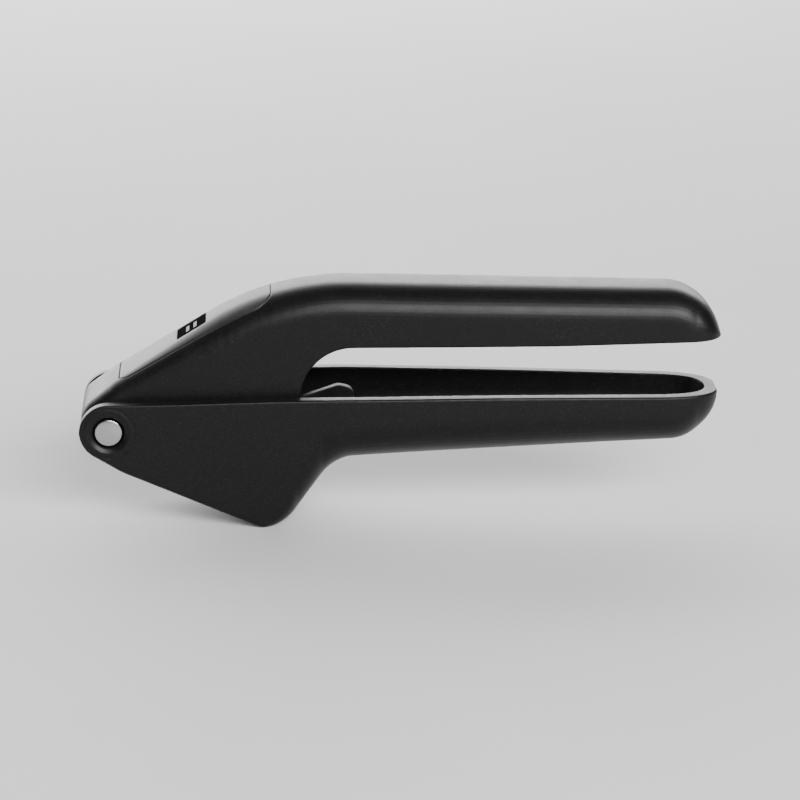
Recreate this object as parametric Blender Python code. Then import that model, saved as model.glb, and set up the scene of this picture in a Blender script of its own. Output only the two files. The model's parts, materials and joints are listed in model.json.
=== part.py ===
"""Garlic press with two hollow handles, a swing-out sieve basket and a plunger.

All shapes are drawn in side view about the hinge: X runs from the hinge to the handle ends,
Z is up and Y runs across. The whole press then stands with the lowest point of its body on Z = 0
and the middle of its length and width on the Z axis.
"""
import math

import bmesh
import bpy
import numpy as np
from mathutils import Matrix, Vector

MM = 0.001
GAP = 0.3 * MM                       # clearance between pieces that rest on each other
THROUGH = 20 * MM                    # half length of a cut that goes right across

# Driving dimensions
OVERALL_LENGTH = 183.5 * MM          # front of the ears to the end of the handles
EAR_RADIUS = 8.35 * MM
EAR_HALF_WIDTH = 17.9 * MM           # outer faces of the hinge ears and of the lower body
SHELL_WALL = 3.5 * MM                # ears and sides of the lower body
BODY_DEPTH = 28.3 * MM               # hinge axis down to the lowest point of the body
SLANT = math.radians(22.6)           # the body's bottom and the sieve slope down by this angle
REAR_SLOPE = math.radians(53.2)      # the body's back rises to the handle at this angle
FLOOR_DISTANCE = 8.0 * MM            # hinge axis to the inside of the body's bottom
RAMP = math.radians(33.1)            # slope of the upper handle's top beside the hinge
RAMP_DISTANCE = 9.9 * MM             # hinge axis to the top of that slope
HANDLE_END = OVERALL_LENGTH - EAR_RADIUS
CAVITY_END = HANDLE_END - 3.6 * MM   # both handles are closed by a wall of this thickness
LOWER_END_ROUND = 2.3                # how square the handle ends are in plan: 2 is an ellipse
UPPER_END_ROUND = 3.0
RIM_HEIGHT = 10.5 * MM               # hinge axis to the rim of the lower handle
UPPER_TOP = 41.9 * MM                # hinge axis to the top of the upper handle
UPPER_HALF_WIDTH = 12.7 * MM
HUB_RADIUS = 8.0 * MM                # the upper handle's round nose, between the ears
HUB_BACK = 7.5 * MM
UPPER_CROWN = 0.5 * MM               # rise of the upper handle's top across its width

# Hinge
BARREL_RADIUS = 3.0 * MM
BARREL_BORE = 1.7 * MM
SCREW_RADIUS = 1.4 * MM
HEAD_RADIUS = 3.9 * MM
HEAD_THICKNESS = 1.4 * MM
HEAD_FACE = EAR_HALF_WIDTH - 0.5 * MM
DISH_MOUTH = 5.4 * MM
DISH_FLOOR_RADIUS = 4.3 * MM
DISH_DEPTH = 2.2 * MM
BUSH_OUTER = 4.3 * MM

# Sieve basket, round about the hinge axis at its front and back
BASKET_HALF_WIDTH = EAR_HALF_WIDTH - SHELL_WALL - GAP
BASKET_SHEET = 1.0 * MM
BASKET_EYE = 6.3 * MM
BASKET_FRONT = 17.0 * MM
BASKET_BACK = 51.0 * MM
BASKET_TOP = 6.4 * MM
BASKET_BASE = FLOOR_DISTANCE - GAP
FLANGE_THICKNESS = 0.5 * MM
SIEVE_THICKNESS = 1.0 * MM
SIEVE_HOLE_RADIUS = 0.95 * MM
SIEVE_PITCH = 3.1 * MM
SIEVE_ROWS = 8                       # along the slope
SIEVE_COLUMNS = 7                    # across

# Plunger
PLUNGER_FRONT = 19.0 * MM
PLUNGER_BACK = 48.6 * MM
PLUNGER_HALF_WIDTH = 9.8 * MM
PLUNGER_WALL = 2.2 * MM
FOOT_HALF_WIDTH = BASKET_HALF_WIDTH - BASKET_SHEET - 0.4 * MM
STUD_HEIGHT = 0.6 * MM
PLUNGER_TOP = 4.1 * MM               # above the line through the hinge along the ramp
PLUNGER_BASE = -1.2 * MM             # above the line through the hinge along the sieve
PLUNGER_SCREWS = (22 * MM, 40 * MM)  # along the ramp
FOOT_SCREWS = (25.15 * MM, 40.65 * MM)   # along the sieve
SCREW_SHANK = 1.2 * MM
SCREW_HEAD = 2.5 * MM
SCREW_SEAT = 5.7 * MM                # underside of a plunger screw's head above the ramp line
BOSS_RADIUS = 3.4 * MM

# Lift tab's rivets
RIVET_RADIUS = 1.0 * MM
RIVET_HEAD = 1.9 * MM
RIVET_SPREAD = 5.0 * MM
RIVET_HEIGHT = 0.5 * MM

# Cover strip and badge
INLAY_THICKNESS = 2.4 * MM
INLAY_START = 2.8 * MM
INLAY_END = 45.5 * MM
INLAY_HALF_WIDTH = 9.4 * MM
INLAY_FRONT_CORNER = 3.0 * MM
INLAY_BACK_CORNER = 5.0 * MM
BADGE_SIZE = 9.5 * MM
BADGE_THICKNESS = 0.6 * MM
BADGE_POSITION = 33.9 * MM           # along the slope from the foot of the hinge's perpendicular

PIVOT = Vector((EAR_RADIUS - OVERALL_LENGTH / 2, 0, BODY_DEPTH))


# ---------------------------------------------------------------- scene and materials

def clear_scene():
    for item in list(bpy.data.objects):
        bpy.data.objects.remove(item, do_unlink=True)


def new_collection(name):
    collection = bpy.data.collections.new(name)
    bpy.context.scene.collection.children.link(collection)
    return collection


def material(name, colour, roughness, metallic):
    made = bpy.data.materials.new(name)
    made.use_nodes = True
    shader = made.node_tree.nodes["Principled BSDF"]
    shader.inputs["Base Color"].default_value = (*colour, 1)
    shader.inputs["Roughness"].default_value = roughness
    shader.inputs["Metallic"].default_value = metallic
    return made


def black_coating(name):
    return material(name, (0.025, 0.025, 0.027), 0.5, 0.0)


def brushed_steel(name):
    return material(name, (0.62, 0.62, 0.61), 0.32, 1.0)


def black_plastic(name):
    return material(name, (0.02, 0.02, 0.021), 0.45, 0.0)


def badge_metal(name):
    return material(name, (0.09, 0.09, 0.1), 0.35, 0.6)


def bearing_plastic(name):
    return material(name, (0.75, 0.73, 0.68), 0.5, 0.0)


# ---------------------------------------------------------------- outlines

def rounded(corners, step=math.radians(11)):
    """An open line through the corners (x, z, radius), each turned by an arc of its radius."""
    points = [Vector(corners[0][:2])]
    for before, corner, after in zip(corners, corners[1:], corners[2:]):
        here = Vector(corner[:2])
        back = (Vector(before[:2]) - here).normalized()
        ahead = (Vector(after[:2]) - here).normalized()
        half_angle = back.angle(ahead) / 2
        reach = corner[2] / math.tan(half_angle)
        centre = here + (back + ahead).normalized() * corner[2] / math.sin(half_angle)
        first = here + back * reach - centre
        turn = math.pi - 2 * half_angle
        side = 1 if back.x * ahead.y - back.y * ahead.x < 0 else -1
        count = max(2, round(turn / step))
        for index in range(count + 1):
            swung = first.copy()
            swung.rotate(Matrix.Rotation(side * turn * index / count, 2))
            points.append(centre + swung)
    points.append(Vector(corners[-1][:2]))
    return points


def height_along(points):
    """The line's height as a function of x."""
    ordered = [points[0]]
    for point in points[1:]:
        if point.x > ordered[-1].x + 1e-6:
            ordered.append(point)
    xs = [point.x for point in ordered]
    zs = [point.y for point in ordered]
    return lambda x: float(np.interp(x, xs, zs)), xs


def slanted(along, above):
    """A side-view point given along and above the line through the hinge parallel to the sieve."""
    return Vector((along * math.cos(SLANT) + above * math.sin(SLANT),
                   above * math.cos(SLANT) - along * math.sin(SLANT)))


def on_ramp(along, above):
    """A side-view point given along and above the line through the hinge parallel to the ramp."""
    return Vector((along * math.cos(RAMP) - above * math.sin(RAMP),
                   along * math.sin(RAMP) + above * math.cos(RAMP)))


def arc(radius, start, end, step=math.radians(5)):
    count = max(2, math.ceil(abs(end - start) / step))
    angles = [start + (end - start) * index / count for index in range(count + 1)]
    return [Vector((radius * math.cos(angle), radius * math.sin(angle))) for angle in angles]


def angle_above_slant(radius, above):
    """The polar angle where a circle about the hinge meets a line parallel to the sieve."""
    return math.asin(above / radius) - SLANT


def angle_under_ramp(radius, above):
    """The polar angle where a circle about the hinge meets a line parallel to the ramp."""
    return math.asin(above / radius) + RAMP


def blunt_end(x, start, end, power):
    """Width factor of a handle whose end is rounded in plan like a superellipse."""
    if x <= start:
        return 1.0
    share = min(1.0, (x - start) / (end - start))
    return (1 - share ** power) ** (1 / power)


# ---------------------------------------------------------------- solids

def put_in(collection, name, mesh):
    made = bpy.data.objects.new(name, mesh)
    made.location = PIVOT
    collection.objects.link(made)
    return made


def outline_mesh(name, points, low, high):
    """A closed flat outline in side view, thick from y = low to y = high."""
    curve = bpy.data.curves.new(name, "CURVE")
    curve.dimensions = "2D"
    curve.fill_mode = "BOTH"
    curve.extrude = (high - low) / 2
    spline = curve.splines.new("POLY")
    spline.points.add(len(points) - 1)
    for place, point in zip(spline.points, points):
        place.co = (point[0], point[1], 0, 1)
    spline.use_cyclic_u = True
    drawn = bpy.data.objects.new(name, curve)
    bpy.context.scene.collection.objects.link(drawn)
    bpy.context.view_layer.update()
    mesh = bpy.data.meshes.new_from_object(drawn.evaluated_get(bpy.context.evaluated_depsgraph_get()))
    bpy.data.objects.remove(drawn)
    stand = Matrix.Translation((0, (low + high) / 2, 0)) @ Matrix.Rotation(math.pi / 2, 4, "X")
    mesh.transform(stand)
    tidy(mesh)
    return mesh


def plan_mesh(name, points, low, high):
    """A closed flat outline in plan view, thick from z = low to z = high."""
    mesh = outline_mesh(name, points, -high, -low)
    mesh.transform(Matrix.Rotation(-math.pi / 2, 4, "X"))
    tidy(mesh)
    return mesh


def tidy(mesh):
    """Weld a mesh's seams and turn its faces outwards."""
    work = bmesh.new()
    work.from_mesh(mesh)
    bmesh.ops.remove_doubles(work, verts=work.verts, dist=2e-6)
    bmesh.ops.recalc_face_normals(work, faces=work.faces)
    if work.calc_volume(signed=True) < 0:
        bmesh.ops.reverse_faces(work, faces=work.faces)
    work.to_mesh(mesh)
    work.free()


def round_mesh(name, radius_low, radius_high, low, high, sides=32, axis="Y"):
    """A cylinder or cone about the hinge axis, or about another axis through the hinge point."""
    mesh = bpy.data.meshes.new(name)
    work = bmesh.new()
    bmesh.ops.create_cone(work, cap_ends=True, segments=sides, radius1=radius_low,
                          radius2=radius_high, depth=high - low)
    work.to_mesh(mesh)
    work.free()
    mesh.transform(Matrix.Translation((0, 0, (low + high) / 2)))
    if axis == "Y":
        mesh.transform(Matrix.Rotation(-math.pi / 2, 4, "X"))
    tidy(mesh)
    return mesh


def section(half_width, low, high, low_round, high_round, crown, arc_points):
    """A box section with elliptical corners, each (across, upright): its points (y, z), going round once."""
    height, widest = high - low, 0.95 * half_width
    high_across, high_up = min(high_round[0], widest), min(high_round[1], 0.8 * height)
    low_across, low_up = min(low_round[0], widest), min(low_round[1], 0.98 * height - high_up)
    corners = [(1, -1, low_across, low_up), (1, 1, high_across, high_up),
               (-1, 1, high_across, high_up), (-1, -1, low_across, low_up)]
    points = []
    for index, (side, level, across, up) in enumerate(corners):
        centre_y = side * (half_width - across)
        centre_z = (low + up) if level < 0 else (high - up)
        for step in range(arc_points):
            angle = math.radians(-90 + 90 * index + 90 * step / (arc_points - 1))
            points.append((centre_y + across * math.cos(angle), centre_z + up * math.sin(angle)))
    flat = half_width - high_across
    points[2 * arc_points:2 * arc_points] = [(flat * place, high) for place in (0.5, 0, -0.5)]
    return [(y, z - crown * (y / half_width) ** 2 * (z - low) / height) for y, z in points]


def loft_mesh(name, stations, half_width, low, high, low_round, high_round, crown=0.0, arc_points=4):
    """A solid whose rounded-box section changes along x."""
    work = bmesh.new()
    rings = []
    for x in stations:
        outline = section(half_width(x), low(x), high(x), low_round(x), high_round(x), crown, arc_points)
        rings.append([work.verts.new((x, y, z)) for y, z in outline])
    for ring, following in zip(rings, rings[1:]):
        for index in range(len(ring)):
            after = (index + 1) % len(ring)
            work.faces.new((ring[index], ring[after], following[after], following[index]))
    work.faces.new(rings[0])
    work.faces.new(list(reversed(rings[-1])))
    mesh = bpy.data.meshes.new(name)
    work.to_mesh(mesh)
    work.free()
    tidy(mesh)
    return mesh


def graded(x, places, radii):
    """A radius in millimetres that changes evenly between places along x, also in millimetres."""
    return float(np.interp(x / MM, places, radii)) * MM


def square_to(line, x, radius, steepest):
    """A corner (across, upright) that stays round when it is cut square to a sloping line."""
    reach = 0.5 * MM
    slope = abs(math.atan2(line(x + reach) - line(x - reach), 2 * reach))
    return (radius, radius / math.cos(min(slope, steepest)))


def spaced(values, start, end, smallest):
    """Sorted stations between start and end, none closer together than the smallest step."""
    kept = [start]
    for value in sorted(values):
        if kept[-1] + smallest < value < end - smallest:
            kept.append(value)
    return kept + [end]


def cutter(name, mesh):
    made = put_in(CUTTERS, name, mesh)
    made.hide_render = True
    made.display_type = "WIRE"
    return made


def combine(target, operation, other):
    change = target.modifiers.new(other.name, "BOOLEAN")
    change.operation = operation
    change.solver = "EXACT"
    change.object = other


def cut(target, name, mesh):
    combine(target, "DIFFERENCE", cutter(name, mesh))


def add(target, name, mesh):
    combine(target, "UNION", cutter(name, mesh))


def part(name, mesh, look):
    made = put_in(PARTS, name, mesh)
    made.data.materials.append(look(name + "_material"))
    made.data.shade_smooth()
    made.data.set_sharp_from_angle(angle=math.radians(35))
    return made


# ---------------------------------------------------------------- shared curves of the two handles

LOWER_RIM, RIM_STATIONS = height_along(rounded([
    (0, EAR_RADIUS, 0), (20 * MM, 8.9 * MM, 0.1), (45 * MM, 9.9 * MM, 0.1), (66 * MM, 10.4 * MM, 0.2),
    (110 * MM, 10.65 * MM, 0.5), (160 * MM, RIM_HEIGHT, 0.5), (178 * MM, RIM_HEIGHT, 0)]))

LOWER_BOTTOM, BOTTOM_STATIONS = height_along(rounded([
    (EAR_RADIUS * math.cos(math.radians(240)), EAR_RADIUS * math.sin(math.radians(240)), 0),
    (3.9 * MM, -11.9 * MM, 0.02), (48.7 * MM, -30.55 * MM, 10.1 * MM), (64.3 * MM, -9.68 * MM, 12 * MM),
    (HANDLE_END, -3.8 * MM, 14 * MM), (HANDLE_END, 14.5 * MM, 0)]))

LOWER_FLOOR, FLOOR_STATIONS = height_along(rounded([
    (3.4 * MM, -10.1 * MM, 0), (46.5 * MM, -28.04 * MM, 3 * MM), (62.5 * MM, -6.62 * MM, 9 * MM),
    (CAVITY_END, -1.0 * MM, 10 * MM), (CAVITY_END, 20 * MM, 0)]))

UPPER_RIDGE, RIDGE_STATIONS = height_along(rounded([
    (-8.0 * MM, -0.5 * MM, 0), (-7.99 * MM, 5.2 * MM, 6 * MM), (1.0 * MM, 12.4 * MM, 12 * MM),
    (46.2 * MM, UPPER_TOP, 74 * MM), (HANDLE_END, UPPER_TOP - 1.1 * MM, 17 * MM),
    (HANDLE_END + 0.1 * MM, 20 * MM, 0)]))

UPPER_EDGE, EDGE_STATIONS = height_along(rounded([
    (7 * MM, 7.0 * MM, 0), (54.2 * MM, 8.5 * MM, 0.1 * MM), (55.2 * MM, 24.0 * MM, 15 * MM),
    (127 * MM, 25.2 * MM, 0.4), (178 * MM, 27.1 * MM, 0)]))

UPPER_ROOF, ROOF_STATIONS = height_along(rounded([
    (12 * MM, 13.1 * MM, 0), (51 * MM, 38.5 * MM, 38 * MM), (CAVITY_END, 37.4 * MM, 13.5 * MM),
    (CAVITY_END + 0.1 * MM, 20 * MM, 0)]))


def lower_width(x):
    straight = float(np.interp(x, [60 * MM, 72 * MM, 84 * MM, 178 * MM],
                               [EAR_HALF_WIDTH, 17.7 * MM, 17.15 * MM, 12.4 * MM]))
    return straight * blunt_end(x, 157 * MM, HANDLE_END + 0.05 * MM, LOWER_END_ROUND)


def lower_cavity_width(x):
    straight = min(EAR_HALF_WIDTH - SHELL_WALL, lower_width(min(x, 155 * MM)) - SHELL_WALL)
    return straight * blunt_end(x, 152 * MM, CAVITY_END + 0.1 * MM, LOWER_END_ROUND)


def upper_width(x):
    straight = float(np.interp(x, [60 * MM, 100 * MM, 178 * MM], [UPPER_HALF_WIDTH, 13 * MM, 12.5 * MM]))
    return straight * blunt_end(x, 162 * MM, HANDLE_END + 0.05 * MM, UPPER_END_ROUND)


def upper_cavity_width(x):
    return (UPPER_HALF_WIDTH - 2.3 * MM) * blunt_end(x, 152 * MM, CAVITY_END + 0.1 * MM, UPPER_END_ROUND)


def upper_low(x):
    """The hub's round underside beside the hinge, then the edge of the side walls."""
    return UPPER_EDGE(x) if x > HUB_BACK else -math.sqrt(max(0.0, HUB_RADIUS ** 2 - x ** 2))


def upper_shoulder(x):
    radius = graded(x, [-8, 0, 9, 15, 32, 42], [3, 4.5, 5.8, 6.4, 8.3, 8.5])
    return square_to(UPPER_RIDGE, x, radius, RAMP)


def upper_outer_mesh(name):
    hub = [-HUB_RADIUS * math.cos(math.radians(angle)) for angle in range(20, 160, 15)]
    stations = spaced(RIDGE_STATIONS + EDGE_STATIONS + hub, -HUB_RADIUS + 0.04 * MM,
                      HANDLE_END - 0.35 * MM, 0.3 * MM)
    stations += [HUB_BACK - 0.01 * MM, HUB_BACK + 0.01 * MM, 54.18 * MM, 54.24 * MM]
    return loft_mesh(name, sorted(stations), upper_width, upper_low, UPPER_RIDGE,
                     lambda x: (0.5 * MM, 0.5 * MM), upper_shoulder, UPPER_CROWN, 6)


# ---------------------------------------------------------------- lower handle

def lower_belly(x):
    """The rounding under the lower handle: small round the body, nearly a half circle along the grip."""
    radius = graded(x, [44, 50, 54, 60, 68, 76, 97, 140, 163],
                    [1.5, 5.6, 8, 10, 12, 12.3, 12.1, 11, 9.8])
    return square_to(LOWER_BOTTOM, x, radius, REAR_SLOPE)


def lower_hollow_corner(x):
    radius = graded(x, [45, 47, 58, 62, 68, 76, 97, 140, 163],
                    [0.1, 2.5, 3, 4.5, 7, 8.8, 8.7, 7.7, 6.5])
    return square_to(LOWER_FLOOR, x, radius, REAR_SLOPE)


def ear_outline(x, sign):
    return sign * math.sqrt(max(0.0, EAR_RADIUS ** 2 - x ** 2))


def make_lower_handle():
    ear = [-EAR_RADIUS * math.cos(math.radians(angle)) for angle in range(4, 90, 9)]
    stations = spaced(ear + RIM_STATIONS + BOTTOM_STATIONS + [3 * MM, 9 * MM],
                      -EAR_RADIUS + 0.02 * MM, HANDLE_END - 0.4 * MM, 0.25 * MM)
    split = EAR_RADIUS * math.cos(math.radians(240))
    outer = loft_mesh(
        "lower_handle", stations, lower_width,
        lambda x: LOWER_BOTTOM(x) if x > split else ear_outline(x, -1),
        lambda x: LOWER_RIM(x) if x > 0 else ear_outline(x, 1),
        lower_belly, lambda x: (0.8 * MM, 0.8 * MM), arc_points=6)
    handle = part("lower_handle", outer, black_coating)
    open_below = 3.4 * MM
    stations = spaced(FLOOR_STATIONS + [64 * MM, 70 * MM, 80 * MM, 156 * MM, 160 * MM, 165 * MM],
                      -10 * MM, CAVITY_END - 0.1 * MM, 0.3 * MM)
    stations.insert(1, open_below - 0.02 * MM)
    cavity = loft_mesh(
        "lower_handle_cavity", stations, lower_cavity_width,
        lambda x: LOWER_FLOOR(x) if x >= open_below else -20 * MM, lambda x: 20 * MM,
        lower_hollow_corner, lambda x: (0.1 * MM, 0.1 * MM), arc_points=5)
    cut(handle, "lower_handle_cavity", cavity)
    window = [slanted(18 * MM, -12 * MM), slanted(46 * MM, -12 * MM),
              slanted(46 * MM, -7.5 * MM), slanted(18 * MM, -7.5 * MM)]
    cut(handle, "lower_handle_window", outline_mesh("window", window, -11 * MM, 11 * MM))
    cut(handle, "ear_bores", round_mesh("ear_bores", BARREL_RADIUS + GAP, BARREL_RADIUS + GAP,
                                        -THROUGH, THROUGH))
    floor = EAR_HALF_WIDTH - DISH_DEPTH
    slope = (DISH_MOUTH - DISH_FLOOR_RADIUS) / DISH_DEPTH
    mouth = DISH_MOUTH + slope * MM
    cut(handle, "far_dish", round_mesh("far_dish", DISH_FLOOR_RADIUS, mouth, floor,
                                       EAR_HALF_WIDTH + MM))
    cut(handle, "near_dish", round_mesh("near_dish", mouth, DISH_FLOOR_RADIUS,
                                        -EAR_HALF_WIDTH - MM, -floor))
    return handle


# ---------------------------------------------------------------- upper handle and cover strip

def inlay_region(name, gap):
    """The block that the cover strip fills, grown by the gap on its hidden sides."""
    depth = INLAY_THICKNESS + gap
    start, end = INLAY_START - gap, INLAY_END + gap
    xs = np.linspace(start - 4 * MM, end + 4 * MM, 12)
    below = []
    for x in xs:
        rise = (UPPER_RIDGE(x + MM) - UPPER_RIDGE(x - MM)) / (2 * MM)
        below.append((x + depth * math.sin(math.atan(rise)),
                      UPPER_RIDGE(x) - depth * math.cos(math.atan(rise))))
    band = below + [(below[-1][0], 60 * MM), (below[0][0], 60 * MM)]
    block = cutter(name + "_band", outline_mesh(name, band, -20 * MM, 20 * MM))
    wide = INLAY_HALF_WIDTH + gap
    front, back = INLAY_FRONT_CORNER + gap, INLAY_BACK_CORNER + gap
    plan = rounded([((start + end) / 2, -wide, 0), (end, -wide, back), (end, wide, back),
                    (start, wide, front), (start, -wide, front), ((start + end) / 2, -wide, 0)])
    combine(block, "INTERSECT", cutter(name + "_plan", plan_mesh(name, plan[:-1], -5 * MM, 70 * MM)))
    return block


def upper_hollow_corner(x):
    radius = graded(x, [41, 47, 60], [0.2, 3.2, 4.0])
    return (radius, radius)


def make_upper_handle():
    handle = part("upper_handle", upper_outer_mesh("upper_handle"), black_coating)
    stations = spaced(ROOF_STATIONS + [60 * MM, 156 * MM, 160 * MM, 165 * MM],
                      12 * MM, CAVITY_END - 0.1 * MM, 0.3 * MM)
    cavity = loft_mesh("upper_handle_cavity", stations, upper_cavity_width, lambda x: -5 * MM,
                       UPPER_ROOF, lambda x: (0.1 * MM, 0.1 * MM), upper_hollow_corner)
    cut(handle, "upper_handle_cavity", cavity)
    combine(handle, "DIFFERENCE", inlay_region("inlay_recess", GAP))
    cut(handle, "hub_bore", round_mesh("hub_bore", BUSH_OUTER + GAP, BUSH_OUTER + GAP, -THROUGH, THROUGH))
    for index, along in enumerate(PLUNGER_SCREWS):
        hole = round_mesh("hole", SCREW_SHANK + GAP, SCREW_SHANK + GAP, 3 * MM, 9 * MM, 16, "Z")
        seat = round_mesh("seat", SCREW_HEAD + GAP, SCREW_HEAD + GAP, SCREW_SEAT, 9 * MM, 20, "Z")
        for label, mesh in (("hole", hole), ("seat", seat)):
            mesh.transform(ramp_frame(along))
            cut(handle, f"plunger_screw_{label}_{index}", mesh)
    return handle


def ramp_frame(along):
    """Places a piece drawn about Z at a distance along the ramp, its Z square to the ramp."""
    base = on_ramp(along, 0)
    return Matrix.Translation((base[0], 0, base[1])) @ Matrix.Rotation(-RAMP, 4, "Y")


def slant_frame(along):
    """Places a piece drawn about Z at a distance along the sieve, its Z square to the sieve."""
    base = slanted(along, 0)
    return Matrix.Translation((base[0], 0, base[1])) @ Matrix.Rotation(SLANT, 4, "Y")


def box_mesh(name, low, high):
    mesh = bpy.data.meshes.new(name)
    work = bmesh.new()
    bmesh.ops.create_cube(work, size=1)
    work.to_mesh(mesh)
    work.free()
    low, high = Vector(low), Vector(high)
    mesh.transform(Matrix.Translation((low + high) / 2) @ Matrix.Diagonal((*(high - low), 1)))
    return mesh


def make_top_inlay():
    inlay = part("top_inlay", upper_outer_mesh("top_inlay"), black_plastic)
    combine(inlay, "INTERSECT", inlay_region("inlay_shape", 0.0))
    half = BADGE_SIZE / 2 + GAP
    bottom = RAMP_DISTANCE - 0.3 * MM - BADGE_THICKNESS - GAP
    pocket = box_mesh("badge_pocket", (-half, -half, bottom), (half, half, RAMP_DISTANCE + MM))
    pocket.transform(ramp_frame(BADGE_POSITION))
    cut(inlay, "badge_pocket", pocket)
    return inlay


def make_badge_plate():
    half = BADGE_SIZE / 2
    top = RAMP_DISTANCE - 0.3 * MM
    mesh = box_mesh("badge_plate", (-half, -half, top - BADGE_THICKNESS), (half, half, top))
    mesh.transform(ramp_frame(BADGE_POSITION))
    return part("badge_plate", mesh, badge_metal)


# ---------------------------------------------------------------- hinge pin

def make_pivot_barrel():
    barrel = part("pivot_barrel", round_mesh("pivot_barrel", HEAD_RADIUS, HEAD_RADIUS, -HEAD_FACE,
                                             HEAD_THICKNESS - HEAD_FACE), brushed_steel)
    end = EAR_HALF_WIDTH - DISH_DEPTH - 0.1 * MM
    add(barrel, "barrel_tube", round_mesh("barrel_tube", BARREL_RADIUS, BARREL_RADIUS,
                                          HEAD_THICKNESS / 2 - HEAD_FACE, end))
    cut(barrel, "barrel_bore", round_mesh("barrel_bore", BARREL_BORE, BARREL_BORE, -12 * MM, 20 * MM, 20))
    return barrel


def make_pivot_screw():
    screw = part("pivot_screw", round_mesh("pivot_screw", HEAD_RADIUS, HEAD_RADIUS,
                                           HEAD_FACE - HEAD_THICKNESS, HEAD_FACE), brushed_steel)
    add(screw, "screw_shaft", round_mesh("screw_shaft", SCREW_RADIUS, SCREW_RADIUS, -11 * MM,
                                         HEAD_FACE - HEAD_THICKNESS / 2, 20))
    return screw


def make_hub_bush():
    length = UPPER_HALF_WIDTH - 0.2 * MM
    bush = part("hub_bush", round_mesh("hub_bush", BUSH_OUTER, BUSH_OUTER, -length, length), bearing_plastic)
    cut(bush, "bush_bore", round_mesh("bush_bore", BARREL_RADIUS + GAP, BARREL_RADIUS + GAP,
                                      -THROUGH, THROUGH))
    return bush


# ---------------------------------------------------------------- sieve basket

def make_sieve_basket():
    base = -BASKET_BASE
    rear_low = angle_above_slant(BASKET_BACK, base)
    rear_high = math.asin(BASKET_TOP / BASKET_BACK)
    plate = (arc(BASKET_EYE, math.radians(70), math.radians(262), math.radians(12))
             + [slanted(11 * MM, base)] + arc(BASKET_BACK, rear_low, rear_high)
             + [Vector((9 * MM, BASKET_TOP))])
    basket = part("sieve_basket", outline_mesh("sieve_basket", plate, -BASKET_HALF_WIDTH,
                                               BASKET_HALF_WIDTH), brushed_steel)
    inside = BASKET_HALF_WIDTH - BASKET_SHEET
    front, back = BASKET_FRONT + BASKET_SHEET, BASKET_BACK - 1.2 * MM
    shelf = base + FLANGE_THICKNESS
    chamber = (arc(front, math.radians(60), angle_above_slant(front, shelf))
               + arc(back, angle_above_slant(back, shelf), math.radians(40)))
    cut(basket, "basket_chamber", outline_mesh("chamber", chamber, -inside, inside))
    nose_room = arc(BASKET_FRONT, math.radians(-70), math.radians(60)) + [
        Vector((-12 * MM, 14 * MM)), Vector((-12 * MM, -16 * MM))]
    cut(basket, "basket_nose_room", outline_mesh("nose_room", nose_room, -inside, inside))
    mouth = box_mesh("mouth", (20.5 * MM, -11.3 * MM, -12 * MM), (45 * MM, 11.3 * MM, shelf + MM))
    mouth.transform(slant_frame(0))
    cut(basket, "basket_mouth", mouth)
    cut(basket, "basket_eyes", round_mesh("basket_eyes", BARREL_RADIUS + GAP, BARREL_RADIUS + GAP,
                                          -THROUGH, THROUGH))
    cut(basket, "rivet_holes", rivet_pair("rivet_holes", RIVET_RADIUS + 0.15 * MM, 48 * MM, 53 * MM))
    return basket


def sieve_places():
    """Centres of the sieve's holes as (along the sieve, across it)."""
    middle = 32.9 * MM
    places = []
    for row in range(SIEVE_ROWS):
        for column in range(SIEVE_COLUMNS):
            places.append((middle + (row - (SIEVE_ROWS - 1) / 2) * SIEVE_PITCH,
                           (column - (SIEVE_COLUMNS - 1) / 2) * SIEVE_PITCH))
    return places


def many_round(name, places, radius_low, radius_high, low, high, sides=8):
    """Equal cylinders or cones square to the sieve, in one mesh."""
    mesh = bpy.data.meshes.new(name)
    work = bmesh.new()
    for along, across in places:
        frame = slant_frame(along) @ Matrix.Translation((0, across, (low + high) / 2))
        bmesh.ops.create_cone(work, cap_ends=True, segments=sides, radius1=radius_low,
                              radius2=radius_high, depth=high - low, matrix=frame)
    work.to_mesh(mesh)
    work.free()
    return mesh


def plate_outline(front, back, above):
    """End points of a plate lying along the sieve between two circles about the hinge."""
    return (math.sqrt(front ** 2 - above ** 2), math.sqrt(back ** 2 - above ** 2))


def make_sieve_plate():
    low = -BASKET_BASE + FLANGE_THICKNESS + GAP
    high = low + SIEVE_THICKNESS
    start, end = plate_outline(BASKET_FRONT + BASKET_SHEET + GAP, BASKET_BACK - 1.2 * MM - GAP, low)
    half = BASKET_HALF_WIDTH - BASKET_SHEET - GAP
    mesh = box_mesh("sieve_plate", (start + 0.2 * MM, -half, low), (end, half, high))
    mesh.transform(slant_frame(0))
    sieve = part("sieve_plate", mesh, brushed_steel)
    cut(sieve, "sieve_holes", many_round("sieve_holes", sieve_places(), SIEVE_HOLE_RADIUS,
                                         SIEVE_HOLE_RADIUS, low - MM, high + MM))
    return sieve


def rivet_mesh(name, side, radius, low, high):
    mesh = round_mesh(name, radius, radius, low, high, 16, "Z")
    lie = Matrix.Rotation(math.pi / 2, 4, "Y")
    mesh.transform(Matrix.Translation((0, side * RIVET_SPREAD, RIVET_HEIGHT)) @ lie)
    return mesh


def rivet_pair(name, radius, low, high):
    work = bmesh.new()
    for side in (-1, 1):
        work.from_mesh(rivet_mesh(name, side, radius, low, high))
    mesh = bpy.data.meshes.new(name)
    work.to_mesh(mesh)
    work.free()
    return mesh


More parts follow.
